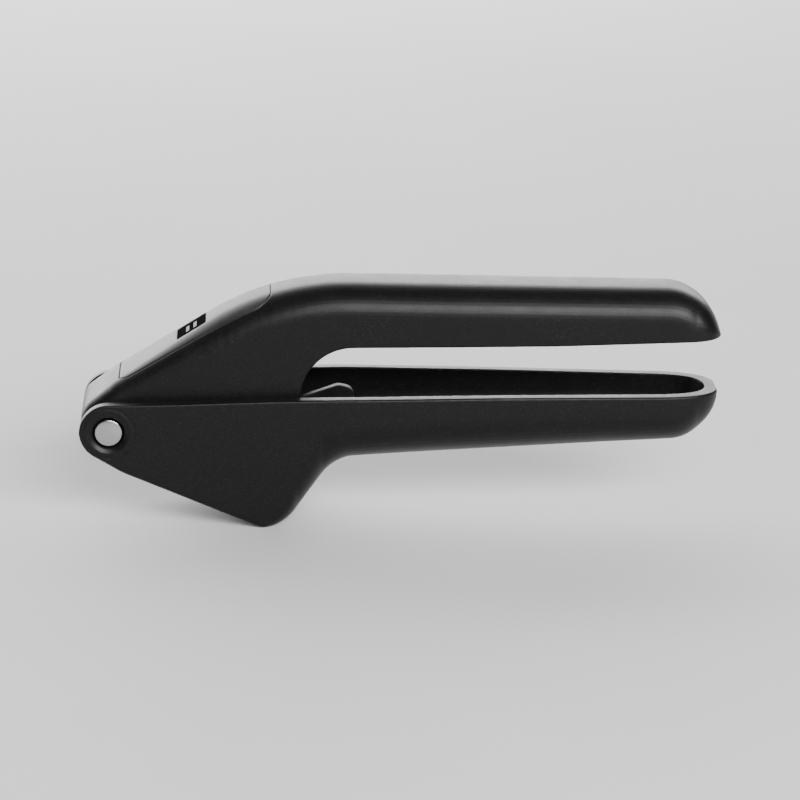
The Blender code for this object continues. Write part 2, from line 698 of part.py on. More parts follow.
def make_lift_tab():
    """A finger tab behind the basket: a curved pad on a mounting plate, with a fin along its middle."""
    plate_front = 51.4 * MM
    pad = rounded([(plate_front, 4.6 * MM, 0), (plate_front, -4.2 * MM, 0.3 * MM),
                   (53.8 * MM, -3.6 * MM, 0.6 * MM), (56.5 * MM, 1.2 * MM, 5 * MM),
                   (70.2 * MM, 4.4 * MM, 0.8 * MM),
                   (69.9 * MM, 6.2 * MM, 0.8 * MM), (54.2 * MM, 3.3 * MM, 2 * MM), (53.4 * MM, 5 * MM, 0)])
    tab = part("lift_tab", outline_mesh("lift_tab", pad, -8 * MM, 8 * MM), black_plastic)
    fin = rounded([(52 * MM, 4 * MM, 0), (52.4 * MM, 5.2 * MM, 0.5 * MM), (65.5 * MM, 9.9 * MM, 4 * MM),
                   (70.3 * MM, 8.6 * MM, 2.6 * MM), (69.6 * MM, 5 * MM, 0.3 * MM), (60 * MM, 2.6 * MM, 0)])
    add(tab, "tab_fin", outline_mesh("tab_fin", fin, -1.3 * MM, 1.3 * MM))
    cut(tab, "tab_rivet_holes", rivet_pair("tab_rivet_holes", RIVET_RADIUS + 0.15 * MM, 48 * MM, 54.6 * MM))
    cut(tab, "tab_rivet_seats", rivet_pair("tab_rivet_seats", RIVET_HEAD + 0.2 * MM, 53.5 * MM, 62 * MM))
    return tab


def make_tab_rivets():
    for label, side in (("near", -1), ("far", 1)):
        shank = rivet_mesh("rivet", side, RIVET_RADIUS, 50 * MM, 54.2 * MM)
        rivet = part(f"tab_rivet_{label}", shank, brushed_steel)
        add(rivet, f"rivet_head_{label}", rivet_mesh("head", side, RIVET_HEAD, 53.8 * MM, 54.6 * MM))


# ---------------------------------------------------------------- plunger

def plunger_outline(front, back, top, bottom):
    return (arc(front, angle_under_ramp(front, top), angle_above_slant(front, bottom))
            + arc(back, angle_above_slant(back, bottom), angle_under_ramp(back, top)))


def make_plunger_body():
    body = part("plunger_body", outline_mesh(
        "plunger_body", plunger_outline(PLUNGER_FRONT, PLUNGER_BACK, PLUNGER_TOP, PLUNGER_BASE),
        -PLUNGER_HALF_WIDTH, PLUNGER_HALF_WIDTH), black_coating)
    inner = PLUNGER_HALF_WIDTH - PLUNGER_WALL
    hollow = plunger_outline(PLUNGER_FRONT + 2.4 * MM, PLUNGER_BACK - 2.4 * MM, PLUNGER_TOP + 3 * MM, 5 * MM)
    pocket = cutter("plunger_pocket", outline_mesh("plunger_pocket", hollow, -inner, inner))
    for index, along in enumerate(PLUNGER_SCREWS):
        boss = round_mesh("boss", BOSS_RADIUS, BOSS_RADIUS, -40 * MM, 12 * MM, 20, "Z")
        boss.transform(ramp_frame(along))
        combine(pocket, "DIFFERENCE", cutter(f"plunger_boss_{index}", boss))
    combine(body, "DIFFERENCE", pocket)
    for index, along in enumerate(PLUNGER_SCREWS):
        bore = round_mesh("bore", SCREW_SHANK + GAP, SCREW_SHANK + GAP, -6 * MM, 8 * MM, 16, "Z")
        bore.transform(ramp_frame(along))
        cut(body, f"plunger_bore_{index}", bore)
    for index, along in enumerate(FOOT_SCREWS):
        bore = round_mesh("bore", SCREW_SHANK + GAP, SCREW_SHANK + GAP, -3 * MM, 3.4 * MM, 16, "Z")
        bore.transform(slant_frame(along))
        cut(body, f"foot_bore_{index}", bore)
    return body


def make_plunger_screws():
    for label, along in zip(("front", "rear"), PLUNGER_SCREWS):
        head = round_mesh("head", SCREW_HEAD, SCREW_HEAD, SCREW_SEAT + GAP, SCREW_SEAT + 1.3 * MM, 20, "Z")
        shank = round_mesh("shank", SCREW_SHANK, SCREW_SHANK, -5 * MM, SCREW_SEAT + 0.8 * MM, 16, "Z")
        for mesh in (head, shank):
            mesh.transform(ramp_frame(along))
        screw = part(f"plunger_screw_{label}", head, brushed_steel)
        add(screw, f"plunger_screw_shank_{label}", shank)


def foot_underside():
    return -BASKET_BASE + FLANGE_THICKNESS + GAP + SIEVE_THICKNESS + 0.9 * MM


def make_plunger_foot():
    low = foot_underside()
    high = PLUNGER_BASE - GAP
    start, end = plate_outline(PLUNGER_FRONT, PLUNGER_BACK, low)
    mesh = box_mesh("plunger_foot", (start + 0.7 * MM, -FOOT_HALF_WIDTH, low), (end, FOOT_HALF_WIDTH, high))
    mesh.transform(slant_frame(0))
    foot = part("plunger_foot", mesh, brushed_steel)
    clear = [place for place in sieve_places()
             if min(math.hypot(place[0] - along, place[1]) for along in FOOT_SCREWS) > 3.6 * MM]
    add(foot, "foot_studs", many_round("foot_studs", clear, 0.5 * MM, 0.75 * MM, low - STUD_HEIGHT,
                                       low + MM, 6))
    for index, along in enumerate(FOOT_SCREWS):
        hole = round_mesh("hole", SCREW_SHANK + GAP, SCREW_SHANK + GAP, low - 3 * MM, high + MM, 16, "Z")
        seat = round_mesh("seat", SCREW_HEAD + GAP, SCREW_HEAD + GAP, low - MM, low + 1.4 * MM, 20, "Z")
        for label, shape in (("hole", hole), ("seat", seat)):
            shape.transform(slant_frame(along))
            cut(foot, f"foot_screw_{label}_{index}", shape)
    return foot


def make_foot_screws():
    low = foot_underside()
    for label, along in zip(("front", "rear"), FOOT_SCREWS):
        head = round_mesh("head", SCREW_HEAD, SCREW_HEAD, low, low + 1.1 * MM, 20, "Z")
        shank = round_mesh("shank", SCREW_SHANK, SCREW_SHANK, low + 0.5 * MM, 2.8 * MM, 16, "Z")
        for mesh in (head, shank):
            mesh.transform(slant_frame(along))
        screw = part(f"foot_screw_{label}", head, brushed_steel)
        add(screw, f"foot_screw_shank_{label}", shank)


# ---------------------------------------------------------------- assembly

def hang_on_axis(groups):
    """Parent each group's pieces to an empty on the hinge axis."""
    for name, members in groups.items():
        axis = bpy.data.objects.new(name, None)
        axis.location = PIVOT
        PARTS.objects.link(axis)
        bpy.context.view_layer.update()
        for member in members:
            piece = bpy.data.objects[member]
            piece.parent = axis
            piece.matrix_parent_inverse = axis.matrix_world.inverted()


clear_scene()
PARTS = new_collection("garlic_press")
CUTTERS = new_collection("garlic_press_cutters")
make_lower_handle()
make_pivot_barrel()
make_pivot_screw()
make_upper_handle()
make_hub_bush()
make_top_inlay()
make_badge_plate()
make_plunger_body()
make_plunger_screws()
make_plunger_foot()
make_foot_screws()
make_sieve_basket()
make_sieve_plate()
make_lift_tab()
make_tab_rivets()
hang_on_axis({
    "upper_handle_axis": ("upper_handle", "hub_bush", "top_inlay", "badge_plate", "plunger_body",
                          "plunger_foot", "plunger_screw_front", "plunger_screw_rear",
                          "foot_screw_front", "foot_screw_rear"),
    "sieve_basket_axis": ("sieve_basket", "sieve_plate", "lift_tab", "tab_rivet_near", "tab_rivet_far"),
})
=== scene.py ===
"""Looks of the garlic press: fine castings, cover strip, hinge pin, sieve basket and plunger."""
import json
import math

import bmesh
import bpy
import numpy as np
from mathutils import Matrix, Vector


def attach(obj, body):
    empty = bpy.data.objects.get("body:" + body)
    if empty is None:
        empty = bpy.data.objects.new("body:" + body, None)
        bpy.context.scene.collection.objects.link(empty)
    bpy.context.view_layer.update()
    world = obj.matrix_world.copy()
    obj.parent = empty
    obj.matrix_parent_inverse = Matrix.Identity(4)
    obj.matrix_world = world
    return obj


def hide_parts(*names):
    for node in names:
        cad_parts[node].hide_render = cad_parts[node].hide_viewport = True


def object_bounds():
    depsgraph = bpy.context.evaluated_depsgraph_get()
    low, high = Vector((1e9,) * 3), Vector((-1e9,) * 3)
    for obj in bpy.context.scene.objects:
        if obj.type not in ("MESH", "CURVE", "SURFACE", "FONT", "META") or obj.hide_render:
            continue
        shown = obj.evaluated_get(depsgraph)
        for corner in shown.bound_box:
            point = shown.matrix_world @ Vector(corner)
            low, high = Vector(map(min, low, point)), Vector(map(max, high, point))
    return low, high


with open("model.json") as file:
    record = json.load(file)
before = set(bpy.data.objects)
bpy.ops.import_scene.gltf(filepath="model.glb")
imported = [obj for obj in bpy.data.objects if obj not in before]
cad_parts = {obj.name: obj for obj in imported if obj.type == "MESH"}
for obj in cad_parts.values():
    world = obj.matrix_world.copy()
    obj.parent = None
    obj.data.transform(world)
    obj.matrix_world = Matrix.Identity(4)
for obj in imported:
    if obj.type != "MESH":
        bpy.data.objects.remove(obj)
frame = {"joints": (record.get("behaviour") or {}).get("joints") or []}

CAD_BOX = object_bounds()
MM = 0.001
PIVOT = Vector(frame["joints"][0]["pos_m"])      # the hinge axis; all shapes are drawn about it
VOXEL = 0.25 * MM       # cell of the remesh that rounds the castings' edges
SOFTEN = 3                                       # rounds of smoothing after that remesh
CASTING_FACES = 150000                           # faces kept on a casting after its remesh

EAR_RADIUS = 8.32 * MM
HALF_WIDTH = 17.88 * MM
SHELL_WALL = 3.5 * MM
UPPER_SIDE_WALL = 2.3 * MM
END = (CAD_BOX[1].x - PIVOT.x) + 0.33 * MM       # far end of the handles from the hinge
CAVITY_END = END - 3.6 * MM
END_CUT = 0.05 * MM                              # how far past END the plan's rounded end would close
LOWER_END_START = 157 * MM
UPPER_END_START = 162 * MM
CAVITY_END_START = 152 * MM
LOWER_END_ROUND = 2.6                            # how square the handle ends are in plan: 2 is an ellipse
UPPER_END_ROUND = 3.0
TAPER_START = 50 * MM                            # where the lower handle's sides start to draw in
CAVITY_TAPER_END = 155 * MM                      # and where its hollow's sides stop doing so
SLANT = math.radians(22.6)
REAR_SLOPE = math.radians(53.2)
RAMP = math.radians(33.1)
RAMP_DISTANCE = 9.9 * MM
UPPER_TOP = 41.9 * MM
UPPER_HALF_WIDTH = 12.7 * MM
HUB_RADIUS = 8.0 * MM
HUB_BACK = 7.5 * MM
UPPER_CROWN = 0.5 * MM
SEAM = 0.11 * MM
INLAY_DEPTH = 2.4 * MM
INLAY_START = 2.8 * MM
INLAY_END = 45.5 * MM
INLAY_HALF_WIDTH = 9.4 * MM
INLAY_FRONT_CORNER = 3.0 * MM
INLAY_BACK_CORNER = 5.0 * MM
HEAD_RADIUS = 3.9 * MM
GROOVE_RADIUS = 7.3 * MM
GROOVE_DEPTH = 0.22 * MM
GROOVE_HALF_WIDTH = 0.4 * MM
HEAD_FACE = HALF_WIDTH - 0.5 * MM
BADGE_SIZE = 9.5 * MM
BADGE_ALONG = 33.9 * MM
PIN_HOLE = 3.2 * MM
EAR_BORE = 3.3 * MM
BUSH_RADIUS = 4.3 * MM
HUB_BORE = 4.6 * MM
SHEET = 1.0 * MM
BASKET_HALF_WIDTH = 14.1 * MM
BASKET_EYE = 6.3 * MM
BASKET_FRONT = 17.0 * MM
BASKET_BACK = 51.0 * MM
BASKET_TOP = 6.4 * MM
BASKET_BASE = 7.7 * MM
FLANGE = 0.5 * MM
GAP = 0.3 * MM
HOLE_RADIUS = 0.95 * MM
HOLE_PITCH = 3.1 * MM
HOLE_ROWS, HOLE_COLUMNS = 8, 7
HOLES_MIDDLE = 32.9 * MM
PLUNGER_FRONT = 19.0 * MM
PLUNGER_BACK = 48.6 * MM
PLUNGER_HALF_WIDTH = 9.8 * MM
PLUNGER_TOP = 4.1 * MM
PLUNGER_BASE = -1.2 * MM
PLUNGER_SCREWS = (22 * MM, 40 * MM)
FOOT_SCREWS = (25.15 * MM, 40.65 * MM)
FOOT_HALF_WIDTH = 12.7 * MM
FOOT_LOW = -BASKET_BASE + FLANGE + GAP + SHEET + 0.9 * MM
SCREW_SHANK = 1.2 * MM
SCREW_HEAD = 2.5 * MM
SCREW_SEAT = 5.7 * MM
RIVET_SPREAD = 5.0 * MM
RIVET_HEIGHT = 0.5 * MM
RIVET_HOLE = 1.1 * MM
THROUGH = 20 * MM                                # half length of a tool that cuts right through a piece


# ---------------------------------------------------------------- materials

def shader_of(name):
    made = bpy.data.materials.new(name)
    made.use_nodes = True
    return made, made.node_tree.nodes, made.node_tree.links, made.node_tree.nodes["Principled BSDF"]


def object_coordinates(nodes, links, scale=(1, 1, 1)):
    place = nodes.new("ShaderNodeTexCoord")
    mapping = nodes.new("ShaderNodeMapping")
    mapping.inputs["Scale"].default_value = scale
    links.new(place.outputs["Object"], mapping.inputs["Vector"])
    return mapping.outputs["Vector"]


def noise(nodes, links, vector, scale, detail=3.0, roughness=0.6):
    made = nodes.new("ShaderNodeTexNoise")
    made.inputs["Scale"].default_value = scale
    made.inputs["Detail"].default_value = detail
    made.inputs["Roughness"].default_value = roughness
    links.new(vector, made.inputs["Vector"])
    return made.outputs["Fac"]


def ramp(nodes, links, value, stops):
    made = nodes.new("ShaderNodeValToRGB")
    elements = made.color_ramp.elements
    for element, (place, colour) in zip(elements, stops):
        element.position = place
        element.color = (*colour, 1)
    for place, colour in stops[2:]:
        extra = elements.new(place)
        extra.color = (*colour, 1)
    links.new(value, made.inputs["Fac"])
    return made.outputs["Color"]


def span(nodes, links, value, low, high, from_low=0.0, from_high=1.0):
    made = nodes.new("ShaderNodeMapRange")
    made.inputs["From Min"].default_value = from_low
    made.inputs["From Max"].default_value = from_high
    made.inputs["To Min"].default_value = low
    made.inputs["To Max"].default_value = high
    links.new(value, made.inputs["Value"])
    return made.outputs["Result"]


def bump(nodes, links, height, strength, distance, after=None):
    made = nodes.new("ShaderNodeBump")
    made.inputs["Strength"].default_value = strength
    made.inputs["Distance"].default_value = distance
    links.new(height, made.inputs["Height"])
    if after is not None:
        links.new(after, made.inputs["Normal"])
    return made.outputs["Normal"]


def coated_casting():
    """Matte black coating with a fine grain and sparse lighter specks."""
    made, nodes, links, shader = shader_of("coated_casting_look")
    where = object_coordinates(nodes, links)
    grain = noise(nodes, links, where, 3000, 2.0, 0.7)
    cloud = noise(nodes, links, where, 160, 4.0)
    specks = noise(nodes, links, where, 3400, 1.0, 0.5)
    colour = ramp(nodes, links, specks, [(0.0, (0.003, 0.003, 0.0033)), (0.60, (0.004, 0.004, 0.0043)),
                                         (0.74, (0.016, 0.016, 0.017))])
    links.new(colour, shader.inputs["Base Color"])
    links.new(span(nodes, links, cloud, 0.35, 0.42, 0.3, 0.7), shader.inputs["Roughness"])
    fine = bump(nodes, links, grain, 0.6, 0.00006)
    links.new(bump(nodes, links, cloud, 0.12, 0.00006, fine), shader.inputs["Normal"])
    shader.inputs["Specular IOR Level"].default_value = 0.17
    return made


def moulded_plastic(name, base, reflection):
    """Black moulded plastic, a shade smoother than the coating."""
    made, nodes, links, shader = shader_of(name)
    where = object_coordinates(nodes, links)
    grain = noise(nodes, links, where, 3000, 2.0, 0.7)
    cloud = noise(nodes, links, where, 120, 3.0)
    lighter = tuple(1.5 * part for part in base)
    links.new(ramp(nodes, links, cloud, [(0.3, base), (0.7, lighter)]), shader.inputs["Base Color"])
    links.new(span(nodes, links, cloud, 0.40, 0.47, 0.3, 0.7), shader.inputs["Roughness"])
    links.new(bump(nodes, links, grain, 0.6, 0.00005), shader.inputs["Normal"])
    shader.inputs["Specular IOR Level"].default_value = reflection
    return made


def brushed_steel(name, stretch, base, shine):
    """Stainless steel with fine scratches drawn out along one direction."""
    made, nodes, links, shader = shader_of(name)
    where = object_coordinates(nodes, links, stretch)
    lines = noise(nodes, links, where, 1.0, 3.0, 0.7)
    cloud = noise(nodes, links, object_coordinates(nodes, links), 220, 3.0)
    darker = tuple(0.86 * part for part in base)
    links.new(ramp(nodes, links, lines, [(0.3, darker), (0.7, base)]), shader.inputs["Base Color"])
    links.new(span(nodes, links, cloud, shine[0], shine[1], 0.3, 0.7), shader.inputs["Roughness"])
    links.new(bump(nodes, links, lines, 0.18, 0.00002), shader.inputs["Normal"])
    shader.inputs["Metallic"].default_value = 1.0
    return made


def badge_print():
    """Dull black tile, printed with two plain pale bars."""
    made, nodes, links, shader = shader_of("badge_look")
    place_on = nodes.new("ShaderNodeUVMap")
    place_on.uv_map = "tile"
    spread = nodes.new("ShaderNodeSeparateXYZ")
    links.new(place_on.outputs["UV"], spread.inputs["Vector"])

    def compute(operation, first, second):
        made_node = nodes.new("ShaderNodeMath")
        made_node.operation = operation
        for socket, value in zip(made_node.inputs, (first, second)):
            if isinstance(value, (int, float)):
                socket.default_value = value
            else:
                links.new(value, socket)
        return made_node.outputs["Value"]
    along = compute("ABSOLUTE", compute("SUBTRACT", spread.outputs["X"], 0.5), 0)
    across = compute("ABSOLUTE", compute("SUBTRACT", spread.outputs["Y"], 0.5), 0)
    near_bar = compute("ABSOLUTE", compute("SUBTRACT", along, 0.13), 0)
    bars = compute("MULTIPLY", compute("LESS_THAN", near_bar, 0.055), compute("LESS_THAN", across, 0.26))
    grain = noise(nodes, links, object_coordinates(nodes, links), 5200, 2.0)
    tint = nodes.new("ShaderNodeMix")
    tint.data_type = "RGBA"
    links.new(bars, tint.inputs["Factor"])
    links.new(ramp(nodes, links, grain, [(0.3, (0.006, 0.006, 0.0065)), (0.7, (0.010, 0.010, 0.0105))]),
              tint.inputs[6])
    links.new(ramp(nodes, links, grain, [(0.3, (0.30, 0.30, 0.31)), (0.7, (0.40, 0.40, 0.41))]),
              tint.inputs[7])
    links.new(tint.outputs[2], shader.inputs["Base Color"])
    links.new(span(nodes, links, grain, 0.42, 0.55), shader.inputs["Roughness"])
    shader.inputs["Specular IOR Level"].default_value = 0.0
    return made


def bearing_plastic():
    made, nodes, links, shader = shader_of("bearing_plastic_look")
    cloud = noise(nodes, links, object_coordinates(nodes, links), 400, 3.0)
    links.new(ramp(nodes, links, cloud, [(0.3, (0.66, 0.64, 0.58)), (0.7, (0.74, 0.72, 0.67))]),
              shader.inputs["Base Color"])
    links.new(span(nodes, links, cloud, 0.42, 0.55), shader.inputs["Roughness"])
    return made


CASTING = coated_casting()
PLASTIC = moulded_plastic("moulded_plastic_look", (0.012, 0.012, 0.013), 0.25)
TAB_PLASTIC = moulded_plastic("tab_plastic_look", (0.004, 0.004, 0.0043), 0.1)
PIN_STEEL = brushed_steel("pin_steel_look", (900, 5000, 14000), (0.42, 0.42, 0.415), (0.22, 0.32))
SHEET_STEEL = brushed_steel("sheet_steel_look", (400, 9000, 9000), (0.40, 0.40, 0.395), (0.28, 0.40))
BADGE = badge_print()
BEARING = bearing_plastic()


# ---------------------------------------------------------------- outlines

def rounded(corners, step=math.radians(2.5)):
    """An open line through the corners (x, z, radius), each turned by an arc of its radius."""
    points = [Vector(corners[0][:2])]
    for before, corner, after in zip(corners, corners[1:], corners[2:]):
        here = Vector(corner[:2])
        back = (Vector(before[:2]) - here).normalized()
        ahead = (Vector(after[:2]) - here).normalized()
        half_angle = back.angle(ahead) / 2
        reach = corner[2] / math.tan(half_angle)
        centre = here + (back + ahead).normalized() * corner[2] / math.sin(half_angle)
        first = here + back * reach - centre
        turn = math.pi - 2 * half_angle
        side = 1 if back.x * ahead.y - back.y * ahead.x < 0 else -1
        count = max(4, round(turn / step))
        for index in range(count + 1):
            swung = first.copy()
            swung.rotate(Matrix.Rotation(side * turn * index / count, 2))
            points.append(centre + swung)
    points.append(Vector(corners[-1][:2]))
    return points


def height_along(points):
    """The line's height as a function of x."""
    least_step = 1e-6
    ordered = [points[0]]
    for point in points[1:]:
        if point.x > ordered[-1].x + least_step:
            ordered.append(point)
    xs = [point.x for point in ordered]
    zs = [point.y for point in ordered]
    return lambda x: float(np.interp(x, xs, zs))


def slanted(along, above):
    """A point in side view, from distances along and square to the sieve."""
    return Vector((along * math.cos(SLANT) + above * math.sin(SLANT),
                   above * math.cos(SLANT) - along * math.sin(SLANT)))


def on_ramp(along, above):
    """A point in side view, from distances along and square to the upper handle's ramp."""
    return Vector((along * math.cos(RAMP) - above * math.sin(RAMP),
                   along * math.sin(RAMP) + above * math.cos(RAMP)))


def blunt_end(x, start, end, power):
    """The share of the full width left at x, where a handle's plan rounds off from start to end."""
    if x <= start:
        return 1.0
    share = min(1.0, (x - start) / (end - start))
    return (1 - share ** power) ** (1 / power)


RIM = height_along(rounded([
    (0, EAR_RADIUS, 0), (20 * MM, 8.9 * MM, 0.1), (45 * MM, 9.9 * MM, 0.1), (66 * MM, 10.4 * MM, 0.2),
    (110 * MM, 10.65 * MM, 0.5), (160 * MM, 10.5 * MM, 0.5), (178 * MM, 10.5 * MM, 0)]))
EAR_FOOT = math.radians(240)
BOTTOM = height_along(rounded([
    (EAR_RADIUS * math.cos(EAR_FOOT), EAR_RADIUS * math.sin(EAR_FOOT), 0), (3.9 * MM, -11.9 * MM, 0.02),
    (48.7 * MM, -30.52 * MM, 10.1 * MM), (64.3 * MM, -9.68 * MM, 12 * MM), (END, -3.8 * MM, 14 * MM),
    (END, 14.5 * MM, 0)]))
FLOOR = height_along(rounded([
    (3.4 * MM, -10.1 * MM, 0), (46.5 * MM, -28.04 * MM, 3 * MM), (62.5 * MM, -6.62 * MM, 9 * MM),
    (CAVITY_END, -1.0 * MM, 10 * MM), (CAVITY_END, 20 * MM, 0)]))
RIDGE = height_along(rounded([
    (-8.0 * MM, -0.5 * MM, 0), (-7.99 * MM, 5.2 * MM, 6 * MM), (1.0 * MM, 12.4 * MM, 12 * MM),
    (46.2 * MM, UPPER_TOP, 74 * MM), (END, UPPER_TOP - 1.1 * MM, 17 * MM),
    (END + 0.1 * MM, 20 * MM, 0)]))
EDGE = height_along(rounded([
    (7 * MM, 7.0 * MM, 0), (54.2 * MM, 8.5 * MM, 0.1 * MM), (55.2 * MM, 24.0 * MM, 15 * MM),
    (127 * MM, 25.2 * MM, 0.4), (178 * MM, 27.1 * MM, 0)]))
ROOF = height_along(rounded([
    (12 * MM, 13.1 * MM, 0), (51 * MM, 38.5 * MM, 38 * MM), (CAVITY_END, 37.4 * MM, 13.5 * MM),
    (CAVITY_END + 0.1 * MM, 20 * MM, 0)]))


TAPER = height_along(rounded([(TAPER_START, HALF_WIDTH, 0), (70 * MM, HALF_WIDTH, 0.3),
                              (178 * MM, 12.4 * MM, 0)], math.radians(0.3)))


def lower_width(x):
    return TAPER(max(x, TAPER_START)) * blunt_end(x, LOWER_END_START, END + END_CUT, LOWER_END_ROUND)


def lower_cavity_width(x):
    straight = TAPER(min(max(x, TAPER_START), CAVITY_TAPER_END)) - SHELL_WALL
    return straight * blunt_end(x, CAVITY_END_START, CAVITY_END + 2 * END_CUT, LOWER_END_ROUND)


def graded(x, places, radii):
    """A radius in millimetres that changes evenly between places along x, also in millimetres."""
    return float(np.interp(x / MM, places, radii)) * MM


def square_to(line, x, radius, steepest):
    """A corner (across, upright) that stays round when it is cut square to a sloping line."""
    reach = 0.5 * MM
    slope = abs(math.atan2(line(x + reach) - line(x - reach), 2 * reach))
    return (radius, radius / math.cos(min(slope, steepest)))


def lower_belly(x):
    radius = graded(x, [44, 50, 54, 60, 68, 76, 97, 140, 163],
                    [1.5, 5.6, 8, 10, 12, 12.3, 12.1, 11, 9.8])
    return square_to(BOTTOM, x, radius, REAR_SLOPE)


def lower_hollow_corner(x):
    radius = graded(x, [45, 47, 58, 62, 68, 76, 97, 140, 163],
                    [0.1, 2.5, 3, 4.5, 7, 8.8, 8.7, 7.7, 6.5])
    return square_to(FLOOR, x, radius, REAR_SLOPE)


def upper_shoulder(x):
    radius = graded(x, [-8, 0, 9, 15, 32, 42], [3, 4.5, 5.8, 6.4, 8.3, 8.5])
    return square_to(RIDGE, x, radius, RAMP)


def upper_hollow_corner(x):
    radius = graded(x, [41, 47, 60], [0.2, 3.2, 4.0])
    return (radius, radius)


def even(radius):
    """The same rounded corner everywhere."""
    return lambda x: (radius, radius)


def upper_width(x):
    straight = float(np.interp(x, [60 * MM, 100 * MM, 178 * MM], [UPPER_HALF_WIDTH, 13 * MM, 12.5 * MM]))
    return straight * blunt_end(x, UPPER_END_START, END + END_CUT, UPPER_END_ROUND)


def upper_cavity_width(x):
    straight = UPPER_HALF_WIDTH - UPPER_SIDE_WALL
    return straight * blunt_end(x, CAVITY_END_START, CAVITY_END + 2 * END_CUT, UPPER_END_ROUND)


def upper_low(x):
    return EDGE(x) if x > HUB_BACK else -math.sqrt(max(0.0, HUB_RADIUS ** 2 - x ** 2))


# ---------------------------------------------------------------- solids

def keep_out(mesh):
    """Turn a closed mesh's faces outwards."""
    work = bmesh.new()
    work.from_mesh(mesh)
    bmesh.ops.remove_doubles(work, verts=work.verts, dist=2e-6)
    bmesh.ops.recalc_face_normals(work, faces=work.faces)
    if work.calc_volume(signed=True) < 0:
        bmesh.ops.reverse_faces(work, faces=work.faces)
    work.to_mesh(mesh)
    work.free()
    return mesh


def place(name, mesh):
    made = bpy.data.objects.new(name, mesh)
    bpy.context.scene.collection.objects.link(made)
    return made


def mesh_of(name, work):
    mesh = bpy.data.meshes.new(name)
    work.to_mesh(mesh)
    work.free()
    return keep_out(mesh)


def section(half_width, low, high, low_round, high_round, crown, corner_points=13, across=8):
    """The points (y, z) of a box section, going round once. Its corners are (across, upright) ellipses."""
    height, widest = high - low, 0.95 * half_width
    high_out, high_up = min(high_round[0], widest), min(high_round[1], 0.8 * height)
    low_out, low_up = min(low_round[0], widest), min(low_round[1], 0.98 * height - high_up)
    corners = [(1, -1, low_out, low_up), (1, 1, high_out, high_up), (-1, 1, high_out, high_up),
               (-1, -1, low_out, low_up)]
    points = []
    for index, (side, level, out, up) in enumerate(corners):
        centre = (side * (half_width - out), (low + up) if level < 0 else (high - up))
        for step in range(corner_points):
            angle = math.radians(-90 + 90 * index + 90 * step / (corner_points - 1))
            points.append((centre[0] + out * math.cos(angle), centre[1] + up * math.sin(angle)))
        if index == 1:
            flat = half_width - out
            points += [(flat - 2 * flat * share / across, high) for share in range(1, across)]
    return [(y, z - crown * (y / half_width) ** 2 * (z - low) / height) for y, z in points]


def loft(name, stations, half_width, low, high, low_round, high_round, crown=0.0):
    """A closed solid through one section at every station along x."""
    work = bmesh.new()
    rings = []
    for x in stations:
        outline = section(half_width(x), low(x), high(x), low_round(x), high_round(x), crown)
        rings.append([work.verts.new((x, y, z)) for y, z in outline])
    for ring, following in zip(rings, rings[1:]):
        for index, vert in enumerate(ring):
            after = (index + 1) % len(ring)
            work.faces.new((vert, ring[after], following[after], following[index]))
    work.faces.new(rings[0])
    work.faces.new(list(reversed(rings[-1])))
    return mesh_of(name, work)


def steps(start, end, pitch, ease_start=0.0, ease_end=0.0):
    """Stations from start to end, packed closer over an ease length at either end."""
    count = max(2, round((end - start) / pitch))
    spread = list(np.linspace(start + ease_start, end - ease_end, count))
    turns = np.linspace(0, math.pi / 2, 12)[:-1]
    head = [start + ease_start * (1 - math.cos(turn)) for turn in turns] if ease_start else []
    tail = [end - ease_end * (1 - math.cos(turn)) for turn in turns[::-1]] if ease_end else []
    return sorted(set(head + spread + tail))


def prism(name, points, low, high):
    """A flat outline in side view, thick from y = low to y = high."""
    work = bmesh.new()
    near = [work.verts.new((point[0], low, point[1])) for point in points]
    face = work.faces.new(near)
    grown = bmesh.ops.extrude_face_region(work, geom=[face])
    far = [item for item in grown["geom"] if isinstance(item, bmesh.types.BMVert)]
    bmesh.ops.translate(work, verts=far, vec=(0, high - low, 0))
    return mesh_of(name, work)


def rod(name, radius_low, radius_high, low, high, sides=64, axis="Y"):
    """A cylinder or cone from low to high along the Y or Z axis."""
    work = bmesh.new()
    bmesh.ops.create_cone(work, cap_ends=True, segments=sides, radius1=radius_low,
                          radius2=radius_high, depth=high - low)
    mesh = mesh_of(name, work)
    mesh.transform(Matrix.Translation((0, 0, (low + high) / 2)))
    if axis == "Y":
        mesh.transform(Matrix.Rotation(-math.pi / 2, 4, "X"))
    return mesh


def turned(name, profile, sides=72, axis="Y"):
    """A turned solid: profile points (radius, height) from the axis out and back to the axis."""
    work = bmesh.new()
    line = [work.verts.new((radius, 0, height)) for radius, height in profile]
    edges = [work.edges.new(pair) for pair in zip(line, line[1:])]
    bmesh.ops.spin(work, geom=line + edges, axis=(0, 0, 1), cent=(0, 0, 0), steps=sides,
                   angle=2 * math.pi, use_duplicate=False)
    bmesh.ops.remove_doubles(work, verts=work.verts, dist=1e-6)
    mesh = mesh_of(name, work)
    if axis == "Y":
        mesh.transform(Matrix.Rotation(-math.pi / 2, 4, "X"))
    return mesh


def combine(target, operation, mesh):
    """Cut a mesh from a piece, add it or keep only what both fill."""
    other = place("tool", mesh)
    change = target.modifiers.new("change", "BOOLEAN")
    change.operation = operation
    change.solver = "EXACT"
    change.object = other
    settle(target)
    bpy.data.objects.remove(other)


def settle(target):
    """Apply a piece's modifiers."""
    bpy.context.view_layer.update()
    graph = bpy.context.evaluated_depsgraph_get()
    mesh = bpy.data.meshes.new_from_object(target.evaluated_get(graph))
    target.modifiers.clear()
    target.data = mesh


